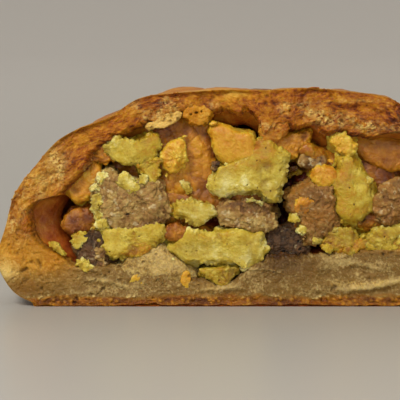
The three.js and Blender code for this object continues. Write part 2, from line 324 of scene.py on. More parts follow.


# In each look, reads are numbers that the meshes carry: tone is where on the ramp a point lies, and the
# darkening value how far a point darkens to the look's shade: painted shade in pits, clefts, holes and
# set-back places, an even darkening on some pieces, and in the crumb also its toasted skin and darker spots.
# Patterns are noise by its size in millimetres, its detail and its roughness, and drift is how they change
# the tone: a start, and the share of each pattern that is added to it. Stops are colours along the ramp from
# pale to dark, its two ends first.

eggLook = {
    "reads": ("tone", "shadeAndStain"),
    "patterns": {"blotch": (2.2, 3.0, 0.5), "curd": (0.6, 4.0, 0.65), "grain": (0.45, 6.0, 0.68)},
    "drift": (-0.28, {"blotch": 1.0, "curd": -0.5}),
    "stops": [(0.0, "#dcd28a"), (1.0, "#a15803"), (0.25, "#c6b247"), (0.5, "#b59820"), (0.78, "#af780b")],
    "shade": "#7f600f",
    "relief": 0.4,
    "surface": {"Roughness": 0.36, "IOR": 1.38, "Subsurface Weight": 0.5,
                "Subsurface Radius": (1.0, 0.75, 0.3), "Subsurface Scale": 0.9 * mm, "Coat Weight": 0.15,
                "Coat Roughness": 0.25},
}


def makeEgg():
    # Scrambled egg curd: moist and slightly see-through, so its shadows stay yellow and thin edges look pale
    material, tree, _, at = newMaterial("scrambledEggCurd", eggLook)
    color = rampColor(tree, at["tone"], "ADD", driftOf(tree, at, *eggLook["drift"]), eggLook["stops"])
    return finishMaterial(material, color, at["grain"], eggLook, at["shadeAndStain"])


sausageLook = {
    "reads": ("tone", "shadeAndStain", "glaze"),
    "patterns": {"grit": (0.9, 4.0, 0.65), "patch": (3.0, 3.0, 0.5), "speck": (1.2, 2.0, 0.5),
                 "grain": (0.4, 4.0, 0.7)},
    "drift": (-0.45, {"grit": 0.9}),
    "stops": [(0.0, "#bea564"), (1.0, "#36210c"), (0.22, "#a38546"), (0.45, "#8a672f"), (0.7, "#65431d")],
    # pink meat, then fat: the pattern, its value where they start and where they are full, how much, colour
    "grains": [("patch", 0.52, 0.64, 0.3, "#a37140"), ("speck", 0.6, 0.68, 0.6, "#ccba8e")],
    "film": "#93600f",  # melted cheese over the grains, as thick as the glaze that the mesh carries
    "filmRange": (0.3, 0.6, 0.25),  # the grit where it starts and where it is full, and the least of it
    "shade": "#3f2a18",
    "relief": 0.3,
    "surface": {"Roughness": 0.5, "IOR": 1.42, "Subsurface Weight": 0.3, "Subsurface Radius": (1.0, 0.5, 0.3),
                "Subsurface Scale": 1.0 * mm},
}


def makeSausage():
    # Cooked pork crumble: coarse ground meat, grey-brown with pink and fat grains, a little greasy
    material, tree, _, at = newMaterial("cookedSausageCrumble", sausageLook)
    drift = driftOf(tree, at, *sausageLook["drift"])
    color = rampColor(tree, at["tone"], "ADD", drift, sausageLook["stops"])
    for key, start, full, most, code in sausageLook["grains"]:
        share = addNode(tree, "MapRange", {"Value": at[key], "From Min": start, "From Max": full,
                                           "To Max": most})
        color = addNode(tree, "Mix", {0: share, 6: color, 7: linearColor(code)}, **colorMix)
    start, full, least = sausageLook["filmRange"]
    film = addNode(tree, "MapRange", {"Value": at["grit"], "From Min": start, "From Max": full,
                                      "To Min": least})
    film = addNode(tree, "Math", {0: film, 1: at["glaze"]}, operation="MULTIPLY")
    color = addNode(tree, "Mix", {0: film, 6: color, 7: linearColor(sausageLook["film"])}, **colorMix)
    return finishMaterial(material, color, at["grain"], sausageLook, at["shadeAndStain"])


cheeseLook = {
    "reads": ("tone", "shadeAndStain"),
    "patterns": {"blotch": (2.6, 6.0, 0.62), "grain": (1.1, 5.0, 0.62)},
    "drift": (0.05, {"blotch": 1.9}),
    "stops": [(0.0, "#c8af43"), (1.0, "#4a1c05"), (0.14, "#c39823"), (0.3, "#b87e15"), (0.5, "#9d6414"),
              (0.75, "#7a4210")],
    "shade": "#8a4a1a",
    "relief": 0.35,
    "surface": {"Roughness": 0.42, "IOR": 1.4, "Subsurface Weight": 0.55,
                "Subsurface Radius": (1.0, 0.55, 0.15), "Subsurface Scale": 1.2 * mm},
}


def makeCheese():
    # Melted cheddar: smooth, oily and see-through in thin places, with soft highlights
    material, tree, _, at = newMaterial("meltedCheddar", cheeseLook)
    drift = driftOf(tree, at, *cheeseLook["drift"])
    color = rampColor(tree, at["tone"], "MULTIPLY", drift, cheeseLook["stops"])
    return finishMaterial(material, color, at["grain"], cheeseLook, at["shadeAndStain"])


crumbLook = {
    "reads": ("tone", "shadeAndStain", "dry", "wet", "run", "rise"),  # run and rise are a place along the crust
    "patterns": {"blotch": (1.9, 5.0, 0.6), "fleck": (0.5, 3.0, 0.6), "flake": (0.7, 4.0, 0.65),
                 "grain": (0.75, 5.0, 0.65)},
    "plainDrift": (-0.85, {"fleck": 2.3, "blotch": 1.4}),
    "plain": [(0.0, "#c6ae70"), (1.0, "#3a2410"), (0.16, "#785b29"), (0.34, "#79561d"), (0.6, "#6a4718")],
    # the same where cheese and fat have soaked in, with patterns that run along the crust
    "streaks": {"wideStreak": (1.9, 5.0, 0.6), "fineStreak": (0.6, 3.0, 0.6)},
    "soakedDrift": (-0.95, {"fineStreak": 2.5, "wideStreak": 1.4}),
    "soaked": [(0.0, "#d8ab44"), (1.0, "#4c1a03"), (0.22, "#b67c16"), (0.5, "#9d5a07"), (0.76, "#7a3805")],
    "calmStreaks": 0.3,  # what is left of the streaks where wet is 2
    "cream": "#dcba68",
    "creamRange": (0.39, 0.58, 0.9),  # the flake where it starts and where it is full, and the most of it
    "shade": "#6b4217",
    "relief": 0.46,
    "surface": {"Roughness": 0.32, "IOR": 1.4, "Specular IOR Level": 0.3, "Subsurface Weight": 0.4,
                "Subsurface Radius": (1.0, 0.65, 0.3), "Subsurface Scale": 1.0 * mm},
}


def makeCrumb():
    # Soft bread crumb at the cut: tan on the floor, golden to red-brown in streaks along the crust where
    # cheese and fat have soaked in, cream where it is flaky, and strewn with fine wet grains
    material, tree, _, at = newMaterial("bakedDoughCrumb", crumbLook)
    drift = driftOf(tree, at, *crumbLook["plainDrift"])
    plain = rampColor(tree, at["tone"], "MULTIPLY", drift, crumbLook["plain"])
    along = addNode(tree, "CombineXYZ", {"X": at["run"], "Z": at["rise"]})
    at.update(addPatterns(tree, along, crumbLook["streaks"]))
    drift = driftOf(tree, at, *crumbLook["soakedDrift"])
    # where wet is above 1 the streaks fade, and leave a smooth even colour
    strength = addNode(tree, "MapRange", {"Value": at["wet"], "From Min": 1.0, "From Max": 2.0, "To Min": 1.0,
                                          "To Max": crumbLook["calmStreaks"]})
    drift = addNode(tree, "Math", {0: drift, 1: 1.0}, operation="SUBTRACT")
    drift = addNode(tree, "Math", {0: drift, 1: strength, 2: 1.0}, operation="MULTIPLY_ADD")
    soaked = rampColor(tree, at["tone"], "MULTIPLY", drift, crumbLook["soaked"])
    color = addNode(tree, "Mix", {0: at["wet"], 6: plain, 7: soaked}, **colorMix)
    start, full, most = crumbLook["creamRange"]
    pale = addNode(tree, "MapRange", {"Value": at["flake"], "From Min": start, "From Max": full,
                                      "To Max": most})
    pale = addNode(tree, "Math", {0: pale, 1: at["dry"]}, operation="MULTIPLY")
    color = addNode(tree, "Mix", {0: pale, 6: color, 7: linearColor(crumbLook["cream"])}, **colorMix)
    return finishMaterial(material, color, at["grain"], crumbLook, at["shadeAndStain"])


hollowLook = {
    "reads": ("tone",),
    "patterns": {"blotch": (3.0, 6.0, 0.62), "grain": (1.8, 5.0, 0.6)},
    "drift": (-0.65, {"blotch": 1.3}),
    "stops": [(0.0, "#c0903e"), (1.0, "#5e2204"), (0.35, "#b2701f"), (0.6, "#9a4f14"), (0.8, "#7c350a")],
    "relief": 0.5,
    "surface": {"Roughness": 0.4, "IOR": 1.42, "Subsurface Weight": 0.5, "Subsurface Radius": (1.0, 0.5, 0.2),
                "Subsurface Scale": 2.0 * mm},
}


def makeHollow():
    # Dough skin steamed and soaked in melted cheese: smooth, moist and reddish brown
    material, tree, _, at = newMaterial("cheeseSoakedDough", hollowLook)
    color = rampColor(tree, at["tone"], "ADD", driftOf(tree, at, *hollowLook["drift"]), hollowLook["stops"])
    return finishMaterial(material, color, at["grain"], hollowLook)


crustLook = {
    "reads": ("tone",),
    "patterns": {"blotch": (9.0, 5.0, 0.6), "freckle": (1.3, 4.0, 0.5), "wrinkle": (0.9, 5.0, 0.62)},
    "drift": (-0.73, {"blotch": 1.1, "freckle": 0.36}),
    "stops": [(0.0, "#cfae68"), (1.0, "#48280d"), (0.25, "#ba8634"), (0.5, "#a4691d"), (0.75, "#895015")],
    "relief": 0.25,
    "surface": {"Roughness": 0.5, "IOR": 1.45, "Specular IOR Level": 0.16, "Subsurface Weight": 0.06,
                "Subsurface Radius": (1.0, 0.5, 0.25), "Subsurface Scale": 0.8 * mm},
}


def makeCrust():
    # Bun crust: baked dough skin brushed before baking, thin, slightly glossy and finely wrinkled
    material, tree, _, at = newMaterial("bakedCrust", crustLook)
    color = rampColor(tree, at["tone"], "ADD", driftOf(tree, at, *crustLook["drift"]), crustLook["stops"])
    return finishMaterial(material, color, at["wrinkle"], crustLook)


finishes = {
    "egg": makeEgg(),
    "sausage": makeSausage(),
    "cheese": makeCheese(),
    "crumb": makeCrumb(),
    "hollow": makeHollow(),
    "crust": makeCrust(),
}
print("materials made:", len(finishes))


# The bun: crust and hollow

bun = {
    # half of the silhouette as distance from the upright axis and height
    "silhouette": [(0, -1), (41, -1), (47.5, 1), (51.5, 4), (53.5, 11), (51.5, 19), (47.5, 25.5), (43, 32),
                   (38, 35.8), (30.5, 38.8), (23.5, 42.2), (12, 43.7), (0, 44)],
    "hollow": [(-47, 17), (-45.2, 21), (-39.2, 23), (-36.6, 27.2), (-33.3, 31.5), (-27.5, 35), (-17, 38.3),
               (-10.5, 39), (-4, 39), (-1, 37), (0, 34), (2, 36), (7.5, 36.5), (12.5, 34), (15, 35),
               (20, 34), (27, 34.5), (34, 32), (39.5, 27), (44.5, 21.5), (46.5, 16), (43.5, 12), (27, 12),
               (9, 10.5), (-1, 9), (-4.5, 6), (-9, 3.8), (-13, 5.5), (-29, 8), (-37.2, 8.5), (-41.6, 11),
               (-45.4, 13.4)],
    "hollowDepth": 43.0,
    "hollowSquareness": 0.8,
    "middle": (0.0, 22.0),  # lines across the cut run out from here
    "relief": (0.7, 8.0),  # height and spacing of its bumps
    "swell": (2.0, 23.0, 14.0),  # height and spacing of its swells, and how far back they reach full height
    "profileSteps": 260,  # points from the middle of the base round to the top
    "turnSteps": 130,  # and round the back, from one end of the cut to the other
    "hollowSteps": 44,  # rows from the cut to the hollow's tip
    "behindCut": 2.6,  # the dough's own face lies this far behind the cut, under the torn crumb
    "pocket": 6.3,  # how far the left end of the hollow closes in behind the cut
    "sag": 3.0,  # how far its roof comes down behind the cut
}


def roundPoints(radial, height, turn):
    # a point of the round bun, pushed out by bumps and by a swell that grows behind the cut
    point = np.stack([radial * np.cos(turn), radial * np.sin(turn), height + 0 * turn], axis=-1)
    reliefHeight, reliefSpacing = bun["relief"]
    swellHeight, swellSpacing, swellStart = bun["swell"]
    behind = smoothStep(point[..., 1], 0, swellStart)
    out = reliefHeight * bumps(point, reliefSpacing, 1) + swellHeight * bumps(point, swellSpacing, 2) * behind
    point[..., 2] += out * np.maximum(point[..., 2], 0) / bunHeight
    point[..., :2] *= (1 + out / bunRadius)[..., None]
    return point


def crustGrid(profileSteps, turns):
    # the silhouette turned about the upright axis, then drawn out to the bun's full width and height
    profile = splinePoints(bun["silhouette"], profileSteps + 1)
    crust = roundPoints(profile[:, :1], profile[:, 1:], turns[None, :])
    crust[..., 0] *= bun["scale"][0]
    crust[..., 1] = crust[..., 1] * bun["scale"][1] + cutY
    crust[..., 2] *= np.where(crust[..., 2] > 0, bun["scale"][2], 1)
    crust[..., 2] = np.maximum(crust[..., 2], 0)
    return crust


def fullScale():
    # how much the bumpy round bun is drawn out along x, y and z to its full size
    profile = splinePoints(bun["silhouette"], 120)
    whole = np.abs(roundPoints(profile[:, :1], profile[:, 1:], np.linspace(0, math.pi, 90)[None, :]))
    return np.array([bunRadius, bunRadius, bunHeight]) / whole.max(axis=(0, 1))


bun["scale"] = fullScale()


def cutLoop(profileSteps):
    # round the cut's edge: up the right side and down the left, with the hollow's edge on the same lines
    sides = crustGrid(profileSteps, np.array([0, math.pi]))
    loop = np.concatenate([sides[:, 0], sides[-2:0:-1, 1]])[:, [0, 2]]
    middle = np.array(bun["middle"])
    outline = splinePoints(bun["hollow"], 3000, closed=True)  # fine enough to read off by its angle
    angle = np.arctan2(outline[:, 1] - middle[1], outline[:, 0] - middle[0])
    order = np.argsort(angle)
    angle, outline = angle[order], outline[order]
    wide = np.concatenate([angle - 2 * math.pi, angle, angle + 2 * math.pi])
    at = np.arctan2(loop[:, 1] - middle[1], loop[:, 0] - middle[0])
    inner = np.stack([np.interp(at, wide, np.tile(outline[:, n], 3)) for n in range(2)], axis=-1)
    outward = loop - middle
    return loop, inner, outward / np.linalg.norm(outward, axis=1, keepdims=True)


def crustTone(crust):
    # brown on top, golden at the shoulder, pale low on the side and dark on the skin below
    z = crust[..., 2]
    wander = 0.12 * layered(crust, 16.0, 3, 2)
    golden = 0.3 * smoothStep(-crust[..., 0], -5, 25) * (1 - smoothStep(crust[..., 1] - cutY, 0, 10)) \
        * (1 - smoothStep(z, 26, 36))
    brown = (0.24 + 0.16 * smoothStep(crust[..., 1] - cutY, 2, 12)) * smoothStep(z, 12, 38)
    return 0.28 + brown - golden + wander + 0.8 * (1 - smoothStep(z, 0.2, 4.0))


def hollowTone(hollow):
    # redder and darker further in and along the floor: painted shade deep in the hollow and along its floor
    depth = hollow[..., 1] - cutY
    return 0.41 + 0.35 * smoothStep(depth, 3, 10) + 0.3 * (1 - smoothStep(hollow[..., 2], 9, 15))


def crustSurface():
    # the crust with fine wrinkles and flat blisters, which fade out at the cut and at the base
    crust = crustGrid(bun["profileSteps"], np.linspace(0, math.pi, bun["turnSteps"] + 1))
    inside = smoothStep(crust[..., 1] - cutY, 0, 3) * smoothStep(crust[..., 2], 0.2, 2)
    blister, _, own = cells(crust, 6.0, 51)
    outward = crust - np.array([0, cutY, 12.0])
    outward /= np.linalg.norm(outward, axis=-1, keepdims=True)
    push = 0.1 * layered(crust, 1.8, 41, 3) + 0.22 * creases(crust, 6.5, 43, 2, 0.4)
    push += 0.3 * (own > 0.55) * (1 - smoothStep(blister, 0.05, 0.24))
    crust += outward * (push * inside)[..., None]
    crust[..., 2] = np.minimum(crust[..., 2], bunHeight)
    return crust


def hollowSurface(rim, out):
    # from its rim the hollow narrows by cos^e(turn) and runs back by sin^e(turn), with e the squareness; its
    # left end closes in, its roof sags, and folds and soft lobes cover it
    middle = np.array(bun["middle"])
    behind = cutY + bun["behindCut"]
    turn = np.linspace(0, 1, bun["hollowSteps"] + 1)[1:-1, None] ** 1.6 * math.pi / 2
    reach = np.cos(turn) ** bun["hollowSquareness"]
    back = np.sin(turn) ** bun["hollowSquareness"]
    hollow = np.stack([middle[0] + (rim[:, 0] - middle[0]) * reach,
                       behind + (cutY + bun["hollowDepth"] - behind) * back + 0 * rim[:, 0],
                       middle[1] + (rim[:, 1] - middle[1]) * reach], axis=-1)
    depth = hollow[..., 1] - behind
    left = smoothStep(-hollow[..., 0], 34, 46) * smoothStep(depth, 0.3, 6)
    above = smoothStep(hollow[..., 2], 27, 35) * smoothStep(depth, 0.3, 5)
    hollow[..., 0] += bun["pocket"] * left
    hollow[..., 2] -= bun["sag"] * above
    folds = layered(hollow, 7.0, 31, 3, 0.5) + 0.25 * creases(hollow, 5.0, 33, 2)
    folds *= smoothStep(hollow[..., 1], behind + 0.5, behind + 5)
    lobe, _, _ = cells(hollow, 3.6, 35)
    folds = folds - 0.9 * (0.5 - lobe) * smoothStep(depth, 0.5, 3)
    hollow[..., [0, 2]] += out * (0.8 * folds)[..., None]
    return hollow


def doughFaces(crustShape, sheetShape):
    # quads between neighbours on the crust and on the sheet of cut face and hollow, which starts at the
    # crust's edge; fans of triangles close both ends of the profile and the hollow's tip, the last point
    crust = np.arange(crustShape[0] * crustShape[1]).reshape(crustShape[:2])
    sheet = crust.size + np.arange(sheetShape[0] * sheetShape[1]).reshape(sheetShape[:2])
    tip = crust.size + sheet.size
    bands = np.vstack([np.concatenate([crust[:, 0], crust[-2:0:-1, -1]]), sheet])
    crust[0, :] = crust[0, 0]  # one point stands for each end of the profile, on the upright axis
    crust[-1, :] = crust[-1, 0]
    beside = np.roll(bands, -1, axis=1)
    inner = np.stack([bands[:-1], bands[1:], beside[1:], beside[:-1]], axis=-1).reshape(-1, 4)
    outer = np.stack([crust[1:-2, :-1], crust[1:-2, 1:], crust[2:-1, 1:], crust[2:-1, :-1]],
                     axis=-1).reshape(-1, 4)
    low = np.stack([crust[0, :-1], crust[1, 1:], crust[1, :-1]], axis=-1)
    top = np.stack([crust[-2, :-1], crust[-2, 1:], crust[-1, :-1]], axis=-1)
    last = np.stack([bands[-1], np.full(sheetShape[1], tip), beside[-1]], axis=-1)
    finish = np.concatenate([np.zeros(len(outer)), np.ones(len(inner)), np.zeros(len(low) + len(top)),
                             np.ones(len(last))])
    return np.concatenate([outer, inner]), np.concatenate([low, top, last]), finish


def makeDough():
    # the crust, a face behind the torn crumb, and the hollow; they share their edges and close one body
    crust = crustSurface()
    loop, inner, out = cutLoop(bun["profileSteps"])
    behind = cutY + bun["behindCut"]
    edge = loop - out * 1.4
    rim = inner + out * 0.4
    face = np.stack([standing(loop - out * 0.5, cutY + 0.8), standing(edge, behind),
                     standing(edge + (rim - edge) * 0.5, behind), standing(rim, behind)])
    hollow = hollowSurface(rim, out)
    tip = np.array([[bun["middle"][0], cutY + bun["hollowDepth"], bun["middle"][1]]])
    sheet = np.concatenate([face, hollow])
    quads, triangles, finish = doughFaces(crust.shape, sheet.shape)
    points = np.vstack([crust.reshape(-1, 3), sheet.reshape(-1, 3), tip])
    tone = np.concatenate([crustTone(crust).ravel(), np.full(face[..., 0].size, 0.6),
                           hollowTone(hollow).ravel(), [0.9]])
    used = np.zeros(len(points), bool)
    used[quads] = True
    used[triangles] = True
    number = np.cumsum(used) - 1
    piece = addMesh("bunDough", points[used], number[quads], number[triangles], {"tone": tone[used]},
                    [finishes["crust"], finishes["hollow"]], finish)
    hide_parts("bun")


makeDough()
print("dough made")


# The bun: torn crumb at the cut

tornCut = {
    "profileSteps": 670,  # points along each half of the cut's edge
    "faceSteps": 62,  # rows from the crust to the hollow
    "curlSteps": 8,  # rows round the hollow's torn edge
    "curlDepth": 4.6,  # how far behind the cut they end
    # heights of the swells, flakes, ridges and so on, in millimetres
    "swell": 0.34,
    "flakes": 0.26,
    "ridges": 0.26,
    "grain": 0.06,
    "granules": 0.26,
    "lumps": 0.5,
    "pores": 0.6,
    "torn": 0.9,
    "fringe": 0.35,  # how far flakes of the torn edge stand out past the crust
    "skin": 1.9,  # thickness of the toasted skin below
    # where the base is worn away: x, z, half width, half height, by how much
    "notches": [(-22.8, 0, 1.6, 3, 0.9), (-25.6, 0, 1.0, 3, 0.5), (8, 0, 2.4, 3, 0.3), (-44, 0, 1.5, 3, 0.4)],
    # how the crumb's tone differs from its surroundings: x, z, half width, half height, change; the spot at
    # -6, 42.8 is painted light that makes the top edge paler
    "shade": [
        (-45.0, 13.0, 7.0, 4.6, 0.06), (-39.0, 10.4, 3.4, 2.0, 0.12), (-46.0, 27.0, 4.5, 7.0, -0.14),
        (-40.5, 29.0, 2.0, 4.5, 0.16), (-31.0, 36.0, 7.0, 2.6, -0.14), (-30.0, 39.5, 4.5, 1.2, -0.06),
        (-21.5, 40.9, 3.6, 1.0, 0.26), (-13.0, 39.0, 2.2, 1.2, -0.12), (-6.0, 42.8, 8.0, 1.2, -0.36),
        (3.6, 38.4, 1.4, 0.8, 0.3), (15.5, 40.4, 3.4, 0.7, 0.26), (16.0, 41.6, 6.0, 0.6, -0.12),
        (26.0, 37.6, 2.6, 2.0, 0.34), (0.0, 40.0, 30.0, 4.0, 0.03), (38.0, 33.0, 6.0, 3.0, 0.06),
        (9.8, 7.0, 1.6, 1.4, 0.12), (22.0, 12.0, 16.0, 1.3, 0.06), (-12.0, 3.6, 3.0, 1.6, 0.05),
        (-48.0, 3.6, 3.4, 1.4, 0.2), (-31.0, 4.4, 5.0, 1.6, -0.03), (-51.4, 7.4, 1.6, 1.8, -0.16),
        (-42.0, 29.5, 2.4, 3.6, -0.12), (-44.6, 24.0, 1.8, 3.2, -0.06), (-41.0, 27.0, 8.0, 9.0, 0.08)],
    # where the crumb is darker: x, z, half width, half height, how much
    "darkSpots": [(4.0, 9.2, 6.0, 3.4, 0.6), (-44.5, 12.5, 7.5, 5.0, 0.26), (-35, 6.5, 3.0, 2.0, 0.25),
               (-12, 6.6, 4.0, 1.2, 0.3), (-16, 40.0, 8.0, 0.8, 0.12)],
    # folds in the floor: x and z of the start and of the end, bow, half width, height
    "folds": [(14.0, 3.4, 30.0, 6.0, -0.7, 0.8, 0.5), (31.0, 6.4, 44.0, 4.4, 0.6, 0.8, 0.45),
              (-14.0, 2.9, -4.0, 3.8, 0.4, 0.6, 0.35), (17.0, 8.6, 23.0, 7.4, 0.5, 0.6, 0.3),
              (-36.0, 5.4, -27.0, 3.8, 0.5, 0.6, 0.3)],
    # where melted cheese makes it smooth, and where it has soaked in low down
    "calm": [(-44.0, 13.0, 6.5, 4.4, 1.0)],
    "wet": [(-46.5, 11.5, 8.5, 4.6, 1.2), (-41.8, 29.5, 2.2, 3.4, -0.5), (-44.4, 24.4, 1.8, 3.0, -0.3)],
    # where it is dry and flaky: x, z, half width, half height, change
    "dry": [
        (-41.8, 29.5, 2.0, 2.8, 0.9), (-44.6, 24.4, 1.6, 2.8, 0.6), (-41.0, 26.0, 2.0, 1.6, 0.5),
        (-50.8, 17.2, 1.4, 2.4, 0.5), (-20.0, 38.3, 3.4, 1.2, 0.9), (3.8, 39.8, 1.3, 1.3, 0.9),
        (3.0, 36.2, 1.6, 0.8, 0.9), (11.0, 38.6, 2.4, 1.2, 0.9), (14.5, 37.6, 3.4, 1.2, 1.1),
        (20.8, 36.3, 2.6, 1.1, 1.0), (8.0, 40.6, 3.0, 0.6, 0.3), (17.0, 41.4, 5.0, 0.4, 0.4),
        (-51.0, 7.5, 1.8, 2.0, 0.9), (-20.0, 9.0, 4.0, 3.0, 0.2), (-11.5, 4.4, 2.4, 1.8, 0.4),
        (-36.0, 5.0, 5.0, 1.6, 0.12), (22.0, 4.6, 8.0, 0.8, 0.55), (38.0, 5.2, 6.0, 0.8, 0.55)],
}


def foldsAt(x, z, folds):
    # ridges along parabolas: height * exp(-(distance / width)^2), fading out at both ends, with a groove
    # below each
    total = np.zeros_like(x)
    for startX, startZ, endX, endZ, bow, width, height in folds:
        t = np.clip((x - startX) / (endX - startX), 0, 1)
        away = z - (startZ + (endZ - startZ) * t + bow * 4 * t * (1 - t))
        groove = np.exp(-((away + 1.8 * width) / width) ** 2)
        total += height * np.sqrt(4 * t * (1 - t)) * (np.exp(-(away / width) ** 2) - 0.6 * groove)
    return total


def tornEdges():
    # the way round the cut, then its two edges: the crust's, which is worn, notched and frayed, and the
    # hollow's, which is torn; and the way outwards
    loop, inner, out = cutLoop(tornCut["profileSteps"])
    flat = standing(inner, 0)
    tear = 0.5 * smoothStep(inner[:, 1], 20, 28) * creases(flat, 3.2, 61, 4, 0.65) \
        + 0.9 * layered(flat, 3.4, 63, 4, 0.6)
    inner = inner - out * (tornCut["torn"] * tear)[:, None]
    flat = standing(loop, 0)
    worn = 0.08 + 0.08 * layered(flat, 1.1, 65, 3) \
        + 0.2 * (1 + layered(flat, 2.8, 67, 3)) * smoothStep(loop[:, 1], 3, 0)
    worn = np.maximum(worn, 0.02) + spotsAt(loop[:, 0], loop[:, 1], tornCut["notches"])
    frayed = smoothStep(layered(flat, 0.8, 69, 2, 0.8), 0.1, 0.9)
    frayed *= smoothStep(bumps(flat, 5.0, 70), -0.5, 0.3)
    worn -= tornCut["fringe"] * frayed * smoothStep(loop[:, 1], 12, 20)
    return loop, loop - out * worn[:, None], inner, out


def acrossCut(loop, start, inner):
    # rows of points from the crust's edge straight to the hollow's, with what their relief and colour follow:
    # the distance from both edges, the roof's share, and a place that runs along the crust
    length = np.concatenate([[0], np.cumsum(np.linalg.norm(np.diff(loop, axis=0), axis=1))])
    span = np.linalg.norm(inner - start, axis=1)
    share = np.linspace(0, 1, tornCut["faceSteps"])[:, None]
    x = start[:, 0] + (inner[:, 0] - start[:, 0]) * share
    z = np.maximum(start[:, 1] + (inner[:, 1] - start[:, 1]) * share, 0)
    flat = np.stack([x, 0 * x, z], axis=-1)
    wobble = 0.6 * sway(flat, 1.9, 71) * inCut
    along = np.stack([length * 0.5 + 0 * x, 0 * x, span * share * 1.3], axis=-1) + 0.5 * wobble
    return {"x": x, "z": z, "flat": flat, "wobble": wobble, "along": along, "roof": smoothStep(z, 9, 18),
            "fromEdge": span * share, "toHollow": span * (1 - share)}


def tornDryness(cut):
    # where the crumb is dry and flaky: patches in the roof and the spots listed, broken up by finer patches
    patches = smoothStep(layered(cut["flat"], 4.5, 83, 3, 0.6), 0.2, 0.9)
    dry = cut["roof"] * patches * 0.4 + spotsAt(cut["x"], cut["z"], tornCut["dry"])
    return np.clip(dry * (0.4 + 1.0 * smoothStep(layered(cut["flat"], 1.4, 87, 3, 0.6), -0.4, 0.5)), 0, 1)


def tornPores(cut):
    # round pits of two sizes on a share of the cells, in patches
    place = cut["flat"] + cut["wobble"]
    wide, _, ownWide = cells(place, 1.6, 21)
    fine, _, ownFine = cells(place, 0.8, 25)
    pores = (1 - smoothStep(wide, 0.05, 0.2 + 0.3 * ownWide)) * (ownWide > 0.6)
    pores = np.maximum(pores, 0.6 * (1 - smoothStep(fine, 0.05, 0.45)) * (ownFine > 0.45))
    return pores * smoothStep(bumps(cut["flat"], 4.5, 29), -0.35, 0.5)


def tornRelief(cut, dry):
    # how far each point lies behind the cut: swells and hollows, less the flakes, ridges, folds, granules and
    # lumps that stand out; with the marks that the colours follow
    x, z, flat, roof = (cut[key] for key in ("x", "z", "flat", "roof"))
    wobble, along = cut["wobble"], cut["along"]
    rise = smoothStep(cut["fromEdge"], 0, 0.8)
    pores = tornPores(cut)
    lump, _, ownLump = cells(flat + 1.5 * wobble, 2.7, 121)
    knobs = nubs(flat + 0.4 * wobble, 0.85, 131, 0.7) * (1 - smoothStep(z, 1.6, 2.6))
    bent = flat * np.array([0.5, 1, 1]) + 1.2 * sway(flat, 6, 91) * inCut
    ridges = smoothStep(creases(bent, 4.6, 95, 1), 0.3, 1.0) ** 2 * (1 - roof)
    ridges = ridges * smoothStep(bumps(flat, 7, 99), -0.4, 0.3)
    calm = np.clip(spotsAt(x, z, tornCut["calm"]), 0, 0.9)
    granule = nubs(0.6 * along + 0.7 * flat, 0.8, 141, 0.8) + 0.5 * nubs(flat + wobble, 0.5, 145, 0.7)
    granule *= (0.35 + 0.65 * roof) * smoothStep(bumps(flat, 3.0, 147), -0.5, 0.3) * (1 - calm)
    push = 0.55 + tornCut["swell"] * layered(flat, 4.2, 3, 3, 0.5) + 0.3 * bumps(flat, 9.0, 77)
    push -= tornCut["flakes"] * dry * creases(flat + wobble, 1.0, 9, 3, 0.7) + tornCut["ridges"] * ridges
    push -= tornCut["grain"] * creases(flat + wobble, 1.2, 97, 4, 0.75) + foldsAt(x, z, tornCut["folds"])
    push -= 0.05 * creases(0.5 * along + flat, 0.8, 101, 3, 0.75) * (roof + (1 - smoothStep(z, 1.2, 2.4)))
    push -= tornCut["granules"] * granule
    push += tornCut["pores"] * pores * (1 - 0.5 * roof) - 0.35 * knobs
    push -= tornCut["lumps"] * (0.5 - lump) * (0.3 + 0.7 * roof)
    push = 0.04 + (push - 0.04) * rise + 1.1 * (1 - smoothStep(cut["toHollow"], 0, 1.8)) ** 2
    marks = {"rise": rise, "pores": pores, "lump": lump, "ownLump": ownLump, "knobs": knobs, "ridges": ridges,
             "calm": calm, "granule": granule}
    return np.clip(push, 0.02, 2.0), marks


def crumbTone(cut):
    # low on the floor, high in the roof and the walls, higher next to the crust, and toasted in the skin
    # below; gives the tone and how toasted each point is
    x, z, along = cut["x"], cut["z"], cut["along"]
    wall = smoothStep(z, 11, 19)
    tone = 0.16 + 0.03 * bumps(along, 2.6, 5) + 0.3 * wall
    tone = tone + 0.08 * smoothStep(x, -36, -26) * smoothStep(z, 30, 36)
    tone = tone + 0.14 * (1 - smoothStep(cut["toHollow"], 0, 1.6)) * smoothStep(z, 14, 19)
    skin = 1.3 + 0.5 * bumps(along, 2.0, 7) + 0.4 * bumps(along, 0.7, 8)
    tone = tone + 0.05 * wall * (1 - smoothStep(cut["fromEdge"], 0.4 * skin, 1.5 * skin))
    tone = tone + 0.12 * wall * layered(along, 0.9, 15, 3, 0.6)
    toasted = tornCut["skin"] * (1 + 0.3 * bumps(along, 3.0, 11) + 0.25 * bumps(along, 0.9, 12))
    low = 1 - smoothStep(z, toasted * 0.6, toasted * 1.15)
    return tone + 0.34 * low * (1 + 0.2 * bumps(along, 1.6, 13)) + spotsAt(x, z, tornCut["shade"]), low


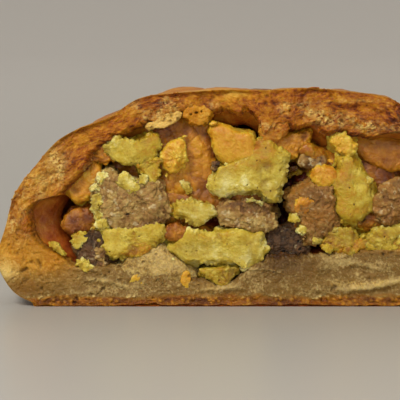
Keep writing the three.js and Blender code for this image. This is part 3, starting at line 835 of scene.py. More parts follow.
def tornColors(cut, push, marks):
    # tone, darkening and wet from the place on the cut and from its relief
    x, z, flat, roof = (cut[key] for key in ("x", "z", "flat", "roof"))
    tone, toasted = crumbTone(cut)
    tone = tone + (0.05 + 0.22 * roof) * (marks["ownLump"] - 0.5) * marks["rise"] - 0.24 * marks["knobs"]
    tone = tone - 0.12 * marks["granule"] * roof - 0.06 * marks["ridges"]
    tone = tone - 0.25 * np.clip(foldsAt(x, z, tornCut["folds"]), 0, 1)
    # painted shade in the pores, where the crumb lies far back and, in the roof, where lumps meet; the
    # toasted skin below darkens as its real colour
    shadeAndStain = 0.6 * marks["pores"] * marks["rise"] + 0.35 * smoothStep(push, 0.8, 1.6)
    shadeAndStain = shadeAndStain + toasted * (0.42 + 0.4 * bumps(flat, 1.3, 135)) - 0.5 * marks["knobs"]
    shadeAndStain = shadeAndStain + 0.15 * roof * smoothStep(marks["lump"], 0.45, 0.8)
    shadeAndStain = np.clip(shadeAndStain + spotsAt(x, z, tornCut["darkSpots"]), 0, 1)
    wet = np.maximum(smoothStep(z + 0.8 * bumps(flat, 3.0, 149), 10, 15.5), 0.7 * toasted)
    return tone, shadeAndStain, np.clip(wet + spotsAt(x, z, tornCut["wet"]), 0, 1) + marks["calm"]


def carriedOn(values, rows, share=1.0, change=0.0):
    # the last row's values, scaled and shifted, stand for all rows behind it
    return np.concatenate([values, np.repeat(share * values[-1:] + change, rows - len(values), axis=0)])


def makeTornCut():
    # a ring-shaped skin: rows of points run from the crust's edge across the cut, curl back round the
    # hollow's torn edge, and close behind through the dough
    loop, start, inner, out = tornEdges()
    cut = acrossCut(loop, start, inner)
    dry = tornDryness(cut)
    push, marks = tornRelief(cut, dry)
    front = np.stack([cut["x"], cutY + push, cut["z"]], axis=-1)
    curl = np.linspace(0, 1, tornCut["curlSteps"] + 1)[1:, None]
    depth = push[-1] + (tornCut["curlDepth"] - push[-1]) * curl
    side = -0.3 * np.sin(math.pi * curl) + 1.3 * curl ** 2
    around = inner[None] + out[None] * side[..., None]
    curled = np.stack([around[..., 0], cutY + depth, around[..., 1]], axis=-1)
    hidden = np.stack([standing(inner + (start - inner) * 0.5, cutY + 3.9),
                       standing(start - out * 0.9, cutY + 2.4), standing(start - out * 0.35, cutY + 1.2)])
    hidden[..., 2] = np.maximum(hidden[..., 2], 0.15)
    grid = np.concatenate([front, curled, hidden])
    rows, count = grid.shape[:2]
    tone, shadeAndStain, wet = tornColors(cut, push, marks)
    along = cut["along"]
    beyond = np.arange(1, rows - len(along) + 1)[:, None]
    run = carriedOn(along[..., 0], rows)
    climb = np.concatenate([along[..., 2], along[-1:, :, 2] + 0.6 * beyond])
    values = {"tone": carriedOn(tone, rows, change=0.05), "shadeAndStain": carriedOn(shadeAndStain, rows),
              "dry": carriedOn(dry, rows, share=0.5), "wet": carriedOn(wet, rows), "run": run * mm,
              "rise": climb * mm}
    index = np.arange(rows * count).reshape(rows, count)
    beside = np.roll(index, -1, axis=1)
    below = np.roll(index, -1, axis=0)
    quads = np.stack([index, below, np.roll(below, -1, axis=1), beside], axis=-1).reshape(-1, 4)
    piece = addMesh("tornCrumb", grid.reshape(-1, 3), quads, np.zeros((0, 3), int), values,
                    [finishes["crumb"]])


makeTornCut()
print("torn crumb made")


# The filling

# Of each food: height and spacing of the bumps that shape a lump, its squareness from 0 for a block to 1 for
# a ball, its tone, and the heights of its torn crests, of the nubs on them and of its wide lumps
foods = {
    "egg": {"height": 1.1, "spacing": 2.8, "squareness": 0.3, "tone": 0.42, "torn": 0.55, "nubs": 0.8,
            "lumps": 0.12},
    "sausage": {"height": 1.0, "spacing": 2.2, "squareness": 0.36, "tone": 0.42, "torn": 0.45,
                "nubs": 0.7, "lumps": 0.2},
    "cheese": {"height": 0.7, "spacing": 4.0, "squareness": 0.42, "tone": 0.4, "torn": 0.4,
               "nubs": 0.5, "lumps": 0.25},
}

# recess is how far a piece lies behind the cut, shade is a list of x, z, half width, half height and change
# of tone, and holes the same with a depth; soaked darkens the whole piece evenly towards its food's shade
# colour
pieces = {
    "sausage_left": {
        "food": "sausage", "recess": 0.3, "depth": 11, "tone": 0.36,
        "outline": [(-34.5, 20.5), (-33.5, 25), (-31, 27.5), (-27, 25.5), (-22.5, 25.5), (-19.5, 23),
                    (-19, 19), (-21, 16), (-27, 15), (-32, 16.5)],
        "shade": [(-22, 17, 3, 2, 0.12), (-31, 17.5, 3, 2, -0.12), (-21, 23.5, 2, 2, 0.1)]},
    "cheese_cap": {
        "food": "cheese", "recess": 0.5, "depth": 8, "tone": 0.28, "lumps": 0.03, "nubs": 0.3,
        "relief": 0.35,
        "outline": [(-10.5, 34), (-10, 36.5), (-5.5, 35.5), (-2, 35), (-1, 32), (-0.5, 29.5), (-5, 28.5),
                    (-9, 29)],
        "shade": [(-9, 35.5, 2, 1.2, 0.15), (-6, 28.6, 6, 2.4, -0.14), (-1, 31.5, 2, 3, -0.05)]},
    "egg_big": {
        "food": "egg", "recess": 0.2, "depth": 12, "tone": 0.38,
        "outline": [(-10.5, 24), (-8.5, 28.5), (-4.5, 30.5), (1, 33.5), (4, 31.5), (5, 28.5), (4, 25),
                    (2.5, 20.5), (-0.5, 22), (-8, 22)],
        "shade": [(-1, 32, 6, 3.0, 0.34), (-6, 29, 4, 1.6, 0.2), (-7, 24, 4, 2.5, -0.16),
                  (-1, 25, 4, 2, -0.1)]},
    "egg_slab": {
        "food": "egg", "recess": 0.2, "depth": 14, "tone": 0.38, "relief": 0.75,
        "outline": [(-20, 11.5), (-16.5, 14), (-10, 15), (-1.5, 15), (1, 11.5), (0.5, 9.5), (-3, 6.8),
                    (-5.5, 8.3), (-15, 8.3), (-18, 9.3)],
        # its darker top is painted shade from the pieces above
        "shade": [(-12, 10.5, 8, 1.5, -0.08), (-8, 14.5, 9, 1.0, 0.14), (-2, 9, 3, 3, -0.15)]},
    "sausage_mid": {
        "food": "sausage", "recess": 1, "depth": 10, "glaze": 0.12,
        "outline": [(-9, 18.5), (-7.5, 21), (-1.5, 21), (1.8, 19.5), (2.2, 15.9), (-3, 15.5), (-7.5, 16)],
        # its darker top is a painted shadow under egg_big
        "shade": [(-3, 20.5, 6, 1.6, 0.3), (-2, 16.5, 5, 1.3, -0.22), (-7, 18.5, 1.5, 1.5, -0.25)]},
    "egg_strip": {
        "food": "egg", "recess": 0.6, "depth": 9, "tone": 0.4, "soaked": 0.14,
        "outline": [(-18.5, 19.5), (-17, 21), (-12, 20.5), (-9.5, 19), (-11.5, 17), (-15, 17), (-18, 17.7)],
        "shade": [(-17.5, 18, 1.5, 2, 0.15), (-11, 18, 2, 1.5, -0.12)]},
    "egg_top": {
        "food": "egg", "recess": 0.6, "depth": 8, "tone": 0.5,
        "outline": [(-32, 32), (-29.5, 34), (-26, 33.2), (-23.5, 34), (-21.5, 33), (-22, 30), (-25.5, 29),
                    (-30, 29.5)],
        "shade": [(-30.5, 32.5, 2.2, 2.2, -0.3), (-26, 32, 1.6, 1.2, -0.12), (-22.5, 32, 1.8, 2.5, 0.22)]},
    "egg_hook": {
        "food": "egg", "recess": 0.9, "depth": 7, "tone": 0.6,
        "outline": [(-25, 28.7), (-23, 30.3), (-20.5, 30.3), (-20.3, 28), (-22, 26.2), (-24, 25)]},
    "cheese_yellow": {
        "food": "cheese", "recess": 0.8, "depth": 7, "tone": 0.27, "torn": 0.5,
        "outline": [(-20.2, 29), (-20, 31.5), (-18, 33.3), (-15.7, 33.5), (-15.3, 30.5), (-17, 27.5),
                    (-18.7, 26.5)]},
    "egg_left": {
        "food": "egg", "recess": 0.3, "depth": 9, "tone": 0.46,
        "outline": [(-34, 16), (-29, 15.8), (-21, 15.8), (-20.2, 14), (-24, 10), (-30.5, 9.8), (-33, 12.5)],
        "shade": [(-25, 11, 4, 1.6, 0.3), (-32.5, 14, 2, 2.5, -0.15)]},
    "sausage_low": {
        "food": "sausage", "recess": 1.4, "depth": 9, "tone": 0.84, "soaked": 0.5, "glaze": 0.2,
        "outline": [(-37.5, 12.5), (-35.5, 15), (-31.5, 15), (-30, 11), (-31.5, 7), (-34, 4.5), (-37, 8)],
        "shade": [(-32.5, 9.5, 1.6, 2.2, -0.3)]},
    "sausage_right": {
        "food": "sausage", "recess": 0.6, "depth": 10, "tone": 0.56, "soaked": 0.08, "glaze": 0.8,
        "outline": [(5.2, 20.8), (6.8, 23.8), (11, 25), (14, 22.5), (15, 17.5), (12, 13.5), (9, 12.5),
                    (7, 16.5)],
        "shade": [(9, 14.5, 2.5, 2, -0.2), (12, 20, 2, 3, 0.12)]},
    "egg_right": {
        "food": "egg", "recess": 1, "depth": 10, "tone": 0.56,
        "outline": [(14, 24.5), (14.5, 29), (17, 31), (19.5, 28), (22.2, 24.5), (22.5, 20.5), (20, 17),
                    (16, 16.8), (14.3, 20.5)],
        "shade": [(15.5, 27, 2, 3, 0.15), (19, 22, 2, 3, -0.08)]},
    "cheese_lump": {
        "food": "cheese", "recess": 1.2, "depth": 6, "tone": 0.31,
        "outline": [(9.5, 27), (11, 28.7), (14, 28.5), (15, 26.5), (13.5, 24.8), (11, 24.8)]},
    "egg_crumble": {
        "food": "egg", "recess": 1.8, "depth": 8, "tone": 0.92, "soaked": 0.12,
        "outline": [(4, 28.5), (5.5, 31.5), (8.5, 33), (11.5, 31), (11, 28), (7.5, 26), (5, 25)],
        "shade": [(5, 27, 2, 3, -0.25), (8.5, 28.5, 2, 2, -0.15)],
        "holes": [(6.2, 26.9, 2.8, 2.6, 9)]},
    "egg_low": {
        "food": "egg", "recess": 0.7, "depth": 6, "tone": 0.5, "squareness": 0.2, "soaked": 0.15,
        "outline": [(-12.5, 6.8), (-10, 8), (-5, 8), (-6.5, 5.2), (-9, 3.8), (-11.5, 5)]},
    "egg_right_low": {
        "food": "egg", "recess": 0.8, "depth": 7, "tone": 0.56, "soaked": 0.2,
        "outline": [(11, 13.3), (13, 15.5), (17, 16), (19.5, 14), (18, 11.3), (14, 10.8)]},
    "egg_edge": {
        "food": "egg", "recess": 0.6, "depth": 7, "tone": 0.48, "soaked": 0.15,
        "outline": [(20.5, 13), (22.5, 15.3), (26.5, 16.8), (28, 15), (26, 12.5), (23, 12)]},
    "sausage_edge": {
        "food": "sausage", "recess": 0.8, "depth": 8, "tone": 0.58, "glaze": 0.6,
        "outline": [(22, 20.5), (23.5, 23.5), (27, 25.5), (29.5, 23), (29, 18.5), (26, 16), (23, 17)]},
    "egg_end": {
        "food": "egg", "recess": 0.8, "depth": 9,
        "outline": [(29.5, 22), (31, 26.5), (35, 28), (38.5, 25), (39, 20.5), (35.5, 18), (31, 18.5)]},
    "sausage_end": {
        "food": "sausage", "recess": 1.2, "depth": 8, "glaze": 0.4,
        "outline": [(33, 14), (35, 17.5), (39, 18), (42.5, 15.5), (41.5, 12.5), (36, 11.5)]},
    "egg_end_low": {
        "food": "egg", "recess": 0.7, "depth": 7,
        "outline": [(27, 13.5), (29, 16.5), (32, 17), (33.5, 14), (31, 11.5), (28.5, 11.5)]},
    "cheese_roof": {
        "food": "cheese", "recess": 2.2, "depth": 7, "tone": 0.44, "lumps": 0.1,
        "outline": [(1.5, 31.5), (2.5, 33.5), (8.5, 35), (9.5, 33), (7, 30), (3.5, 30)]},
    "cheese_crumb": {
        "food": "cheese", "recess": 1.6, "depth": 6, "tone": 0.2, "nubs": 0.9, "torn": 0.8,
        "outline": [(13, 33.3), (14.5, 35), (17.7, 34.5), (18, 32.5), (15.8, 31)]},
    "sausage_dark": {
        "food": "sausage", "recess": 3, "depth": 9, "tone": 0.82, "lumps": 0.0, "nubs": 0.1, "torn": 0.15,
        "soaked": 0.45, "relief": 0.6,
        "outline": [(-1, 12.5), (1, 15), (5.5, 15.5), (9, 14), (10, 11), (8, 7.5), (3, 6.5), (0, 8.5)]},
    "cheese_curtain": {
        "food": "cheese", "recess": 3.2, "depth": 9, "tone": 0.45, "lumps": 0.7, "nubs": 0.6,
        "outline": [(-23, 31.5), (-23.5, 36.5), (-17.5, 38.5), (-11.5, 38), (-9.5, 34.5), (-9.5, 27.5),
                    (-11, 21), (-15, 19), (-18.5, 21), (-21, 26)],
        # painted shadow at its upper left, and painted light at -13.5, 32.5
        "shade": [(-20, 35.5, 4, 2.5, 0.25), (-13.5, 32.5, 2.5, 3, -0.05), (-10.2, 33, 1.6, 4, 0.4),
                  (-15, 24, 2.5, 2, -0.08), (-11, 23, 2.5, 3, 0.25)]},
    "cheese_left": {
        "food": "cheese", "recess": 2.6, "depth": 9, "tone": 0.34, "lumps": 0.5, "nubs": 0.3,
        "outline": [(-39.5, 23), (-37.5, 26.5), (-34.5, 29.5), (-32.8, 27.5), (-34.5, 23), (-36, 20),
                    (-38.3, 20)]},
    "cheese_low": {
        "food": "cheese", "recess": 3.4, "depth": 7, "tone": 0.8, "lumps": 0.4, "nubs": 0.3,
        "outline": [(-40.5, 16.5), (-38.5, 18.8), (-35, 19.3), (-34, 16.5), (-36, 14), (-39, 14)]},
    "cheese_wall": {
        "food": "cheese", "recess": 4, "depth": 9, "tone": 0.56, "lumps": 0.05, "nubs": 0.1, "torn": 0.15,
        "relief": 0.5,
        "outline": [(17, 32.3), (19.5, 34.3), (25, 33.8), (32, 32), (37.5, 27), (35.5, 24.5), (30, 26),
                    (24.5, 27), (20, 29.3)]},
}


def eggDetail(grid, seed):
    # soft curds: smooth rounded swells, patches of small nubs, and pores like pinpricks
    bent = grid + 0.5 * sway(grid, 1.7, seed + 21)
    swell = -creases(bent, 3.8, seed + 60, 2, 0.4)
    patch = 0.25 + 0.75 * smoothStep(bumps(grid, 4.4, seed + 50), -0.3, 0.4)
    nub = nubs(bent, 0.95, seed + 90, 0.75) * patch
    fine = nubs(bent, 0.62, seed + 93, 0.6) * patch
    near, _, own = cells(bent, 1.0, seed + 95)
    pore = (1 - smoothStep(near, 0.1, 0.22)) * (own > 0.7) * (1 - nub)
    push = 0.1 * swell + 0.13 * nub + 0.09 * fine + 0.1 * layered(bent, 2.4, seed + 80, 5, 0.55) - 0.2 * pore
    # painted shade in the hollows and pores; the tone is paler on raised curds and darker in hollows, painted
    # light and shade, and paler on the nubs
    shadeAndStain = 0.6 * smoothStep(-push, -0.04, 0.3) + 0.5 * pore
    return push, np.clip(shadeAndStain, 0, 1), 0.02 - 0.16 * np.clip(push / 0.3, -1, 1) - 0.08 * nub


def sausageDetail(grid, seed):
    # ground meat: soft clumps with grains about 1 mm across in them, and a few pits
    bent = grid + 0.35 * sway(grid, 1.1, seed + 21)
    near, _, own = cells(bent, 1.0, seed + 60)
    _, clumpGap, clumpOwn = cells(bent, 4.2, seed + 70)
    cleft = (1 - smoothStep(clumpGap, 0, 0.14)) * (clumpOwn > 0.5)
    missing = (own < 0.03) * (1 - smoothStep(near, 0.3, 0.5))
    push = 0.3 * (0.5 - near) + 0.2 * (own - 0.5) + 0.4 * (clumpOwn - 0.5) - 0.1 * cleft - 0.4 * missing
    push += 0.14 * layered(bent, 2.0, seed + 80, 5, 0.62) + 0.22 * nubs(bent, 0.75, seed + 85, 0.8)
    # painted shade in the clefts, the gaps of missing grains and the hollows; the tone differs at random by
    # grain and is paler on raised places, painted light
    shadeAndStain = np.clip(0.12 * cleft + 0.8 * missing + 0.4 * smoothStep(-push, 0.1, 0.5), 0, 1)
    return push, shadeAndStain, 0.3 * (0.5 - own) - 0.1 * push


def cheeseDetail(grid, seed):
    # melted folds that run downwards, soft lumps between them, and nubs of curd in patches
    bent = grid + 0.6 * sway(grid, 2.1, seed + 21)
    folds = creases(bent * np.array([1.0, 1.0, 0.6]), 4.0, seed + 60, 3, 0.5)
    nub = nubs(bent, 0.9, seed + 90, 0.6) * smoothStep(bumps(grid, 3.4, seed + 50), 0.0, 0.5)
    push = 0.16 * folds + 0.22 * layered(bent, 2.4, seed + 70, 5, 0.6) + 0.25 * nub
    # painted shade in the hollows; the tone is paler on raised folds and darker in hollows, painted light and
    # shade, and paler on the nubs
    return push, 0.5 * smoothStep(-push, 0.0, 0.4), -0.14 * np.clip(push / 0.3, -1, 1) - 0.08 * nub


details = {"egg": eggDetail, "sausage": sausageDetail, "cheese": cheeseDetail}


def roughen(grid, shape, seed):
    # moves a lump's points along its normals: the food's own surface all over, and on the sides torn crests
    # with nubs, ragged in some stretches and smooth in others; with the painted shade, darker where the wide
    # lumps meet, and the change of tone, which differs at random by lump and is paler on the torn crests, a
    # painted highlight
    normals = outwardNormals(grid)
    side = 1 - normals[..., 1] ** 2
    relief = shape.get("relief", 1.0)
    push, shadeAndStain, drift = (relief * part for part in details[shape["food"]](grid, seed))
    near, _, own = cells(grid + 0.8 * sway(grid, 2.4, seed + 24), 2.9, seed + 27)
    push = push + shape["lumps"] * (0.5 - near)
    drift = drift + 0.35 * shape["lumps"] * (own - 0.5)
    # painted shade where the wide lumps meet
    shadeAndStain = np.clip(shadeAndStain + 0.5 * shape["lumps"] * smoothStep(near, 0.5, 0.85), 0, 1)
    ragged = 0.35 + 0.9 * smoothStep(bumps(grid, 3.6, seed + 31), -0.3, 0.4)
    crest = shape.get("crest", 1.0)
    tear = 0.5 * creases(grid, 2.6 * crest, seed + 33, 4, 0.68)
    tear = tear + shape["nubs"] * nubs(grid, crest, seed + 37, 0.6)
    push = push + shape["torn"] * ragged * (tear - 0.25) * side
    # the torn crests on the sides are paler: a painted highlight
    return grid + normals * push[..., None], shadeAndStain, drift - 0.2 * side * np.clip(tear, 0, 1)


def lumpSteps(shape, around, rings):
    # points round a lump, about 0.2 mm apart, and rings, about 0.15 mm apart, both held to the ranges given
    size = np.ptp(np.array(shape["outline"]), axis=0)
    girth = 2.6 * size.sum()
    reach = 0.6 * size.mean() + 0.5 * shape["depth"]
    return int(np.clip(girth / 0.2, *around)), int(np.clip(reach / 0.15, *rings))


def makePiece(name):
    # one piece of food: a lump on its outline, set back at its holes, with the food's surface and colours
    shape = {**foods[pieces[name]["food"]], **pieces[name]}
    around, rings = lumpSteps(shape, (110, 300), (60, 120))
    grid, seed = lumpGrid(shape, rings, around)
    front = 1 - smoothStep(grid[..., 1] - cutY, shape["recess"], shape["recess"] + 0.7 * shape["depth"])
    sunk = spotsAt(grid[..., 0], grid[..., 2], shape.get("holes", [])) * front
    grid[..., 1] += sunk
    grid, shadeAndStain, drift = roughen(grid, shape, seed)
    # painted shade in the holes; soaked darkens the whole piece evenly
    shadeAndStain = np.clip(shadeAndStain + 0.15 * sunk + shape.get("soaked", 0), 0, 1)
    tone = shape["tone"] + drift + spotsAt(grid[..., 0], grid[..., 2], shape.get("shade", []))
    glaze = shape.get("glaze", 0) * (0.6 + 0.6 * smoothStep(bumps(grid, 3.0, seed + 41), -0.4, 0.4))
    points = withPoles(grid)
    points[:, 2] = np.maximum(points[:, 2], 0.4)
    quads, triangles = ballFaces(rings, around)
    values = {"tone": tone, "shadeAndStain": shadeAndStain, "glaze": glaze}
    piece = addMesh(name + "Piece", points, quads, triangles,
                    {key: withPoles(value) for key, value in values.items()}, [finishes[shape["food"]]])
    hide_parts(name)


for name in pieces:
    makePiece(name)
print("pieces made:", len(pieces))

heap = {
    "outline": [(-40, 14), (-37, 22), (-31.5, 28.5), (-25, 33), (-12, 35.8), (-5, 35), (0, 31.5), (7, 33.3),
                (20, 31.5), (31, 30), (39, 24), (43.5, 16), (41, 13.5), (27, 13.8), (9, 12.2), (-1, 10.8),
                (-9, 8), (-29, 9.8), (-38, 10.5)],
    "recess": 3.0, "depth": 33.0, "squareness": 0.42, "height": 1.0, "spacing": 4.6,
    "rings": 170, "around": 520, "tone": 0.6, "food": "cheese", "torn": 0.5, "nubs": 0.2, "lumps": 0.4,
    # where the heap lies further behind the cut: x, z, half width, half height, depth in millimetres
    "holes": [(4.2, 19.2, 1.8, 4.4, 10), (6.0, 26.8, 3.0, 2.8, 9), (-9.6, 30, 1.5, 2.4, 6),
              (-24, 16, 5, 1.0, 4), (-10, 16.8, 3.2, 1.4, 4), (-22.5, 26.5, 1.5, 1.2, 4), (-2, 33, 2, 2, 4),
              (-15, 30, 6, 6, 1.6), (27, 28.5, 8, 4, 2.2), (-37, 17, 3, 3, 1.5)],
    # the spots at -5, 36, at 8, 33 and at 4.2, 19.2 are painted shade under the roof and in a deep hole
    "shade": [(-14, 14.8, 6, 2.5, -0.1), (17, 14, 8, 2.5, -0.3), (-30, 30, 3, 3, -0.1),
              (-16, 27, 4, 5, -0.15), (4, 12, 6, 4, 0.2), (26, 20, 5, 4, 0.05), (1, 23, 3, 3, 0.1),
              (-5, 36, 6, 2.5, 0.3), (8, 33, 5, 2, 0.25), (4.2, 19.2, 1.8, 4, 0.3), (24, 25, 3, 2, 0.15)],
}


def makeHeap():
    # the loose scramble behind the pieces: one lump, set back at its holes, with curds all over
    grid, seed = lumpGrid(heap, heap["rings"], heap["around"])
    front = 1 - smoothStep(grid[..., 1] - cutY, heap["recess"] + 2, heap["recess"] + 10)
    sunk = spotsAt(grid[..., 0], grid[..., 2], heap["holes"])
    grid[..., 1] += sunk * front
    narrow = np.sqrt(1 - (np.clip(grid[..., 1] - cutY, 0, 50) / bunRadius) ** 2)  # it follows the round bun
    grid[..., 0] *= narrow
    grid[..., 2] = 14 + (grid[..., 2] - 14) * np.where(grid[..., 2] > 14, narrow, 1)
    near, _, own = cells(grid, 3.4, seed + 30)
    grid = grid + outwardNormals(grid) * (1.2 * (own - 0.5) + 1.0 * (0.4 - near))[..., None]
    grid, shadeAndStain, drift = roughen(grid, heap, seed)
    tone = heap["tone"] + 0.35 * (own - 0.5) + drift
    # painted shade: the holes are darker, and the whole heap a little darker where it lies behind the pieces
    tone = tone + spotsAt(grid[..., 0], grid[..., 2], heap["shade"]) + 0.05 * sunk
    shadeAndStain = np.clip(shadeAndStain + 0.3 * sunk + 0.12, 0, 1)
    quads, triangles = ballFaces(heap["rings"], heap["around"])
    piece = addMesh("looseScramble", withPoles(grid), quads, triangles,
                    {"tone": withPoles(tone), "shadeAndStain": withPoles(shadeAndStain)}, [finishes["cheese"]])
    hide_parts("filling")


makeHeap()
print("heap made")


# Crumbs and scraps that lie on the pieces and in the gaps between them

zones = {
    # where each food lies loose in the gaps, and where none does: x, z, half width, half height, weight
    "bare": [(28, 30, 10, 4.5, 1.0), (-16.5, 30, 6.5, 8, 1.0), (5.5, 26.8, 2.8, 2.8, 1.0),
             (-6, 37, 6, 2, 1.0)],
    "egg": [(-17, 12, 22, 4, 1.0), (24, 13, 14, 4, 1.0), (18, 24, 5, 8, 0.9), (-26, 31, 6, 3, 0.7),
            (-2, 26, 6, 5, 0.8), (34, 22, 6, 5, 0.8)],
    "sausage": [(-34, 9, 5, 6, 1.1), (-27, 21, 6, 6, 0.9), (3, 16, 10, 7, 1.0), (26, 20, 5, 5, 1.0),
                (38, 15, 5, 4, 1.0), (10, 20, 5, 6, 0.8)],
    "cheese": [(-16, 28, 8, 10, 1.1), (-37, 22, 5, 8, 1.1), (-37, 16, 4, 4, 0.9), (27, 30, 14, 5, 1.2),
               (6, 31, 9, 5, 1.1), (-20, 16, 5, 2, 0.9), (-33, 30, 5, 4, 0.9)],
}

crumbGrid = (12, 16)  # rings of points on a crumb, and points to a ring

crumbs = {
    # strewn is how many small crumbs lie along the pieces' edges, and loose how many curds in the gaps; a
    # scrap has its outline, how far it lies behind the cut and its tone; a placed curd has x, z, how far it
    # lies behind the cut, half its width, half its height and its tone
    "egg": {
        "strewn": 60, "size": (0.25, 0.65), "seed": 4,
        "loose": 110, "looseSize": (0.9, 1.8), "looseRecess": (1.6, 3.2), "looseTone": 0.6,
        "scraps": [
            ([(-29.9, 25.8), (-28.0, 27.2), (-26.8, 26.3), (-25.1, 24.2), (-25.7, 22.8), (-27.4, 23.1),
              (-28.6, 24.2), (-29.9, 25.1)], -0.2, 0.34),
            ([(-33.3, 25.6), (-32.6, 26.7), (-31.4, 26.3), (-31.9, 25.2)], 0.4, 0.25),
            ([(-34.9, 23.4), (-34.2, 24.6), (-33.0, 24.3), (-33.2, 23.0)], 0.5, 0.25),
            ([(-34.3, 19.4), (-34.2, 21.6), (-33.3, 22.8), (-32.4, 21.4), (-32.9, 19.6), (-32.2, 17.8),
              (-33.3, 17.4)], 0.2, 0.3),
            ([(-33.9, 16.4), (-33.0, 17.7), (-31.2, 17.2), (-30.9, 16.2), (-32.4, 15.8)], 0.1, 0.3),
            ([(-38.6, 13.4), (-37.6, 14.7), (-35.8, 14.4), (-35.2, 13.2), (-36.2, 13.3), (-37.0, 12.9),
              (-37.2, 11.7), (-38.2, 11.8)], 1.1, 0.4),
            ([(-42.8, 12.7), (-41.6, 12.8), (-40.6, 11.6), (-39.8, 10.3), (-41.0, 10.4), (-42.2, 11.4)],
             0.3, 0.5),
            ([(-37.2, 8.9), (-36.0, 9.3), (-34.8, 8.4), (-34.4, 7.0), (-35.6, 6.7), (-37.0, 7.6)], 0.4, 0.4),
            ([(-16.3, 24.8), (-15.2, 25.2), (-14.3, 24.2), (-14.7, 22.9), (-15.8, 22.7)], 1.9, 0.3),
            ([(4.9, 17.2), (5.2, 18.6), (6.2, 18.9), (6.6, 17.8), (5.8, 17.0)], 0.4, 0.4),
            ([(7.0, 15.0), (7.4, 16.1), (8.6, 15.9), (8.4, 14.8)], 0.6, 0.4),
            ([(9.9, 12.7), (10.1, 13.8), (11.2, 13.6), (11.0, 12.6)], 0.5, 0.3),
            ([(13.8, 15.2), (14.2, 16.2), (15.0, 15.8), (14.8, 14.9)], 0.6, 0.2),
            ([(20.7, 24.8), (20.9, 26.0), (21.7, 25.9), (21.6, 24.7)], 0.8, 0.3),
            ([(-24.8, 25.0), (-24.6, 26.2), (-23.6, 26.3), (-23.3, 25.2)], 0.3, 0.3),
            ([(11.4, 12.2), (14.4, 13.2), (19.2, 13.6), (22.0, 12.8), (19.6, 10.9), (15.0, 10.2)], 1.0, 0.7),
            ([(19.8, 12.6), (24.0, 13.8), (29.6, 13.9), (32.0, 12.6), (27.6, 11.1), (22.4, 10.9)], 0.9, 0.66),
            ([(15.9, 10.6), (16.0, 11.9), (17.6, 12.2), (18.2, 11.0), (17.4, 9.8), (16.7, 9.6)], 0.3, 0.5),
            ([(11.8, 11.6), (13.0, 12.5), (14.2, 11.8), (13.2, 10.9)], 0.4, 0.55),
            ([(24.0, 11.9), (25.6, 12.6), (27.2, 12.0), (26.2, 11.0), (24.8, 10.8)], 0.3, 0.55),
            ([(30.4, 13.0), (34.4, 14.0), (39.6, 13.8), (41.6, 12.6), (37.0, 11.2), (32.4, 11.4)],
             1.0, 0.66)],
        "placed": [(-2.6, 21.5, 0.2, 1.0, 0.5, 0.14), (-0.8, 21.0, 0.3, 0.9, 0.5, 0.1)],
    },
    "sausage": {
        "strewn": 60, "size": (0.25, 0.65), "seed": 9,
        "loose": 110, "looseSize": (0.9, 1.8), "looseRecess": (1.6, 3.2), "looseTone": 0.65,
        "scraps": [
            ([(-33.4, 10.9), (-32.6, 11.8), (-31.4, 11.2), (-31.6, 9.9), (-32.8, 9.8)], 0.9, 0.55),
            ([(-33.8, 8.8), (-32.9, 9.6), (-31.8, 8.8), (-32.0, 7.2), (-33.2, 7.3)], 0.9, 0.6),
            ([(7.4, 28.6), (8.8, 30.6), (10.6, 30.9), (12.4, 29.6), (11.8, 28.2), (9.4, 27.6)], 2.0, 0.62)],
        "placed": [(-9.6, 28.4, 1.4, 1.1, 1.0, 0.8)],
    },
    "cheese": {
        "strewn": 20, "size": (0.25, 0.65), "seed": 14,
        "loose": 90, "looseSize": (0.9, 1.9), "looseRecess": (1.6, 3.2), "looseTone": 0.58,
        "scraps": [
            ([(6.2, 19.2), (6.6, 21.2), (8.0, 22.0), (9.5, 20.9), (9.1, 19.1), (7.6, 18.2)], 0.35, 0.46),
            ([(-20.1, 14.2), (-19.3, 16.2), (-17.2, 16.7), (-15.5, 15.4), (-16.1, 13.5), (-18.4, 13.0)],
             0.9, 0.7),
            ([(-34.6, 29.8), (-34.2, 32.2), (-32.4, 33.8), (-29.8, 33.2), (-29.2, 30.6), (-31.4, 28.9)],
             1.9, 0.6),
            ([(9.2, 6.6), (9.4, 8.0), (10.2, 8.3), (10.6, 7.0), (10.0, 6.2)], 0.5, 0.34)],
        "placed": [(4.8, 5.2, 1.0, 0.4, 0.9, 0.4)],
    },
}
scrapShape = {"depth": 2.2, "height": 0.45, "spacing": 1.1, "torn": 0.45, "nubs": 0.9, "lumps": 0.0,
              "crest": 0.5, "squareness": 0.75, "rings": 30, "around": 76}


def makeScraps(food):
    # small torn pieces on outlines, with the food's own surface: their points, faces, tones and darkening,
    # painted shade in their hollows
    found = []
    first = 0
    for outline, recess, tone in crumbs[food]["scraps"]:
        shape = {**foods[food], **scrapShape, "food": food, "outline": outline, "recess": recess}
        rings, around = shape["rings"], shape["around"]
        grid, seed = lumpGrid(shape, rings, around)
        grid, shadeAndStain, drift = roughen(grid, shape, seed)
        quads, triangles = ballFaces(rings, around, first)
        found.append((withPoles(grid), quads, triangles, withPoles(tone + drift), withPoles(shadeAndStain)))
        first += rings * around + 2
    return [np.concatenate(parts) for parts in zip(*found)]


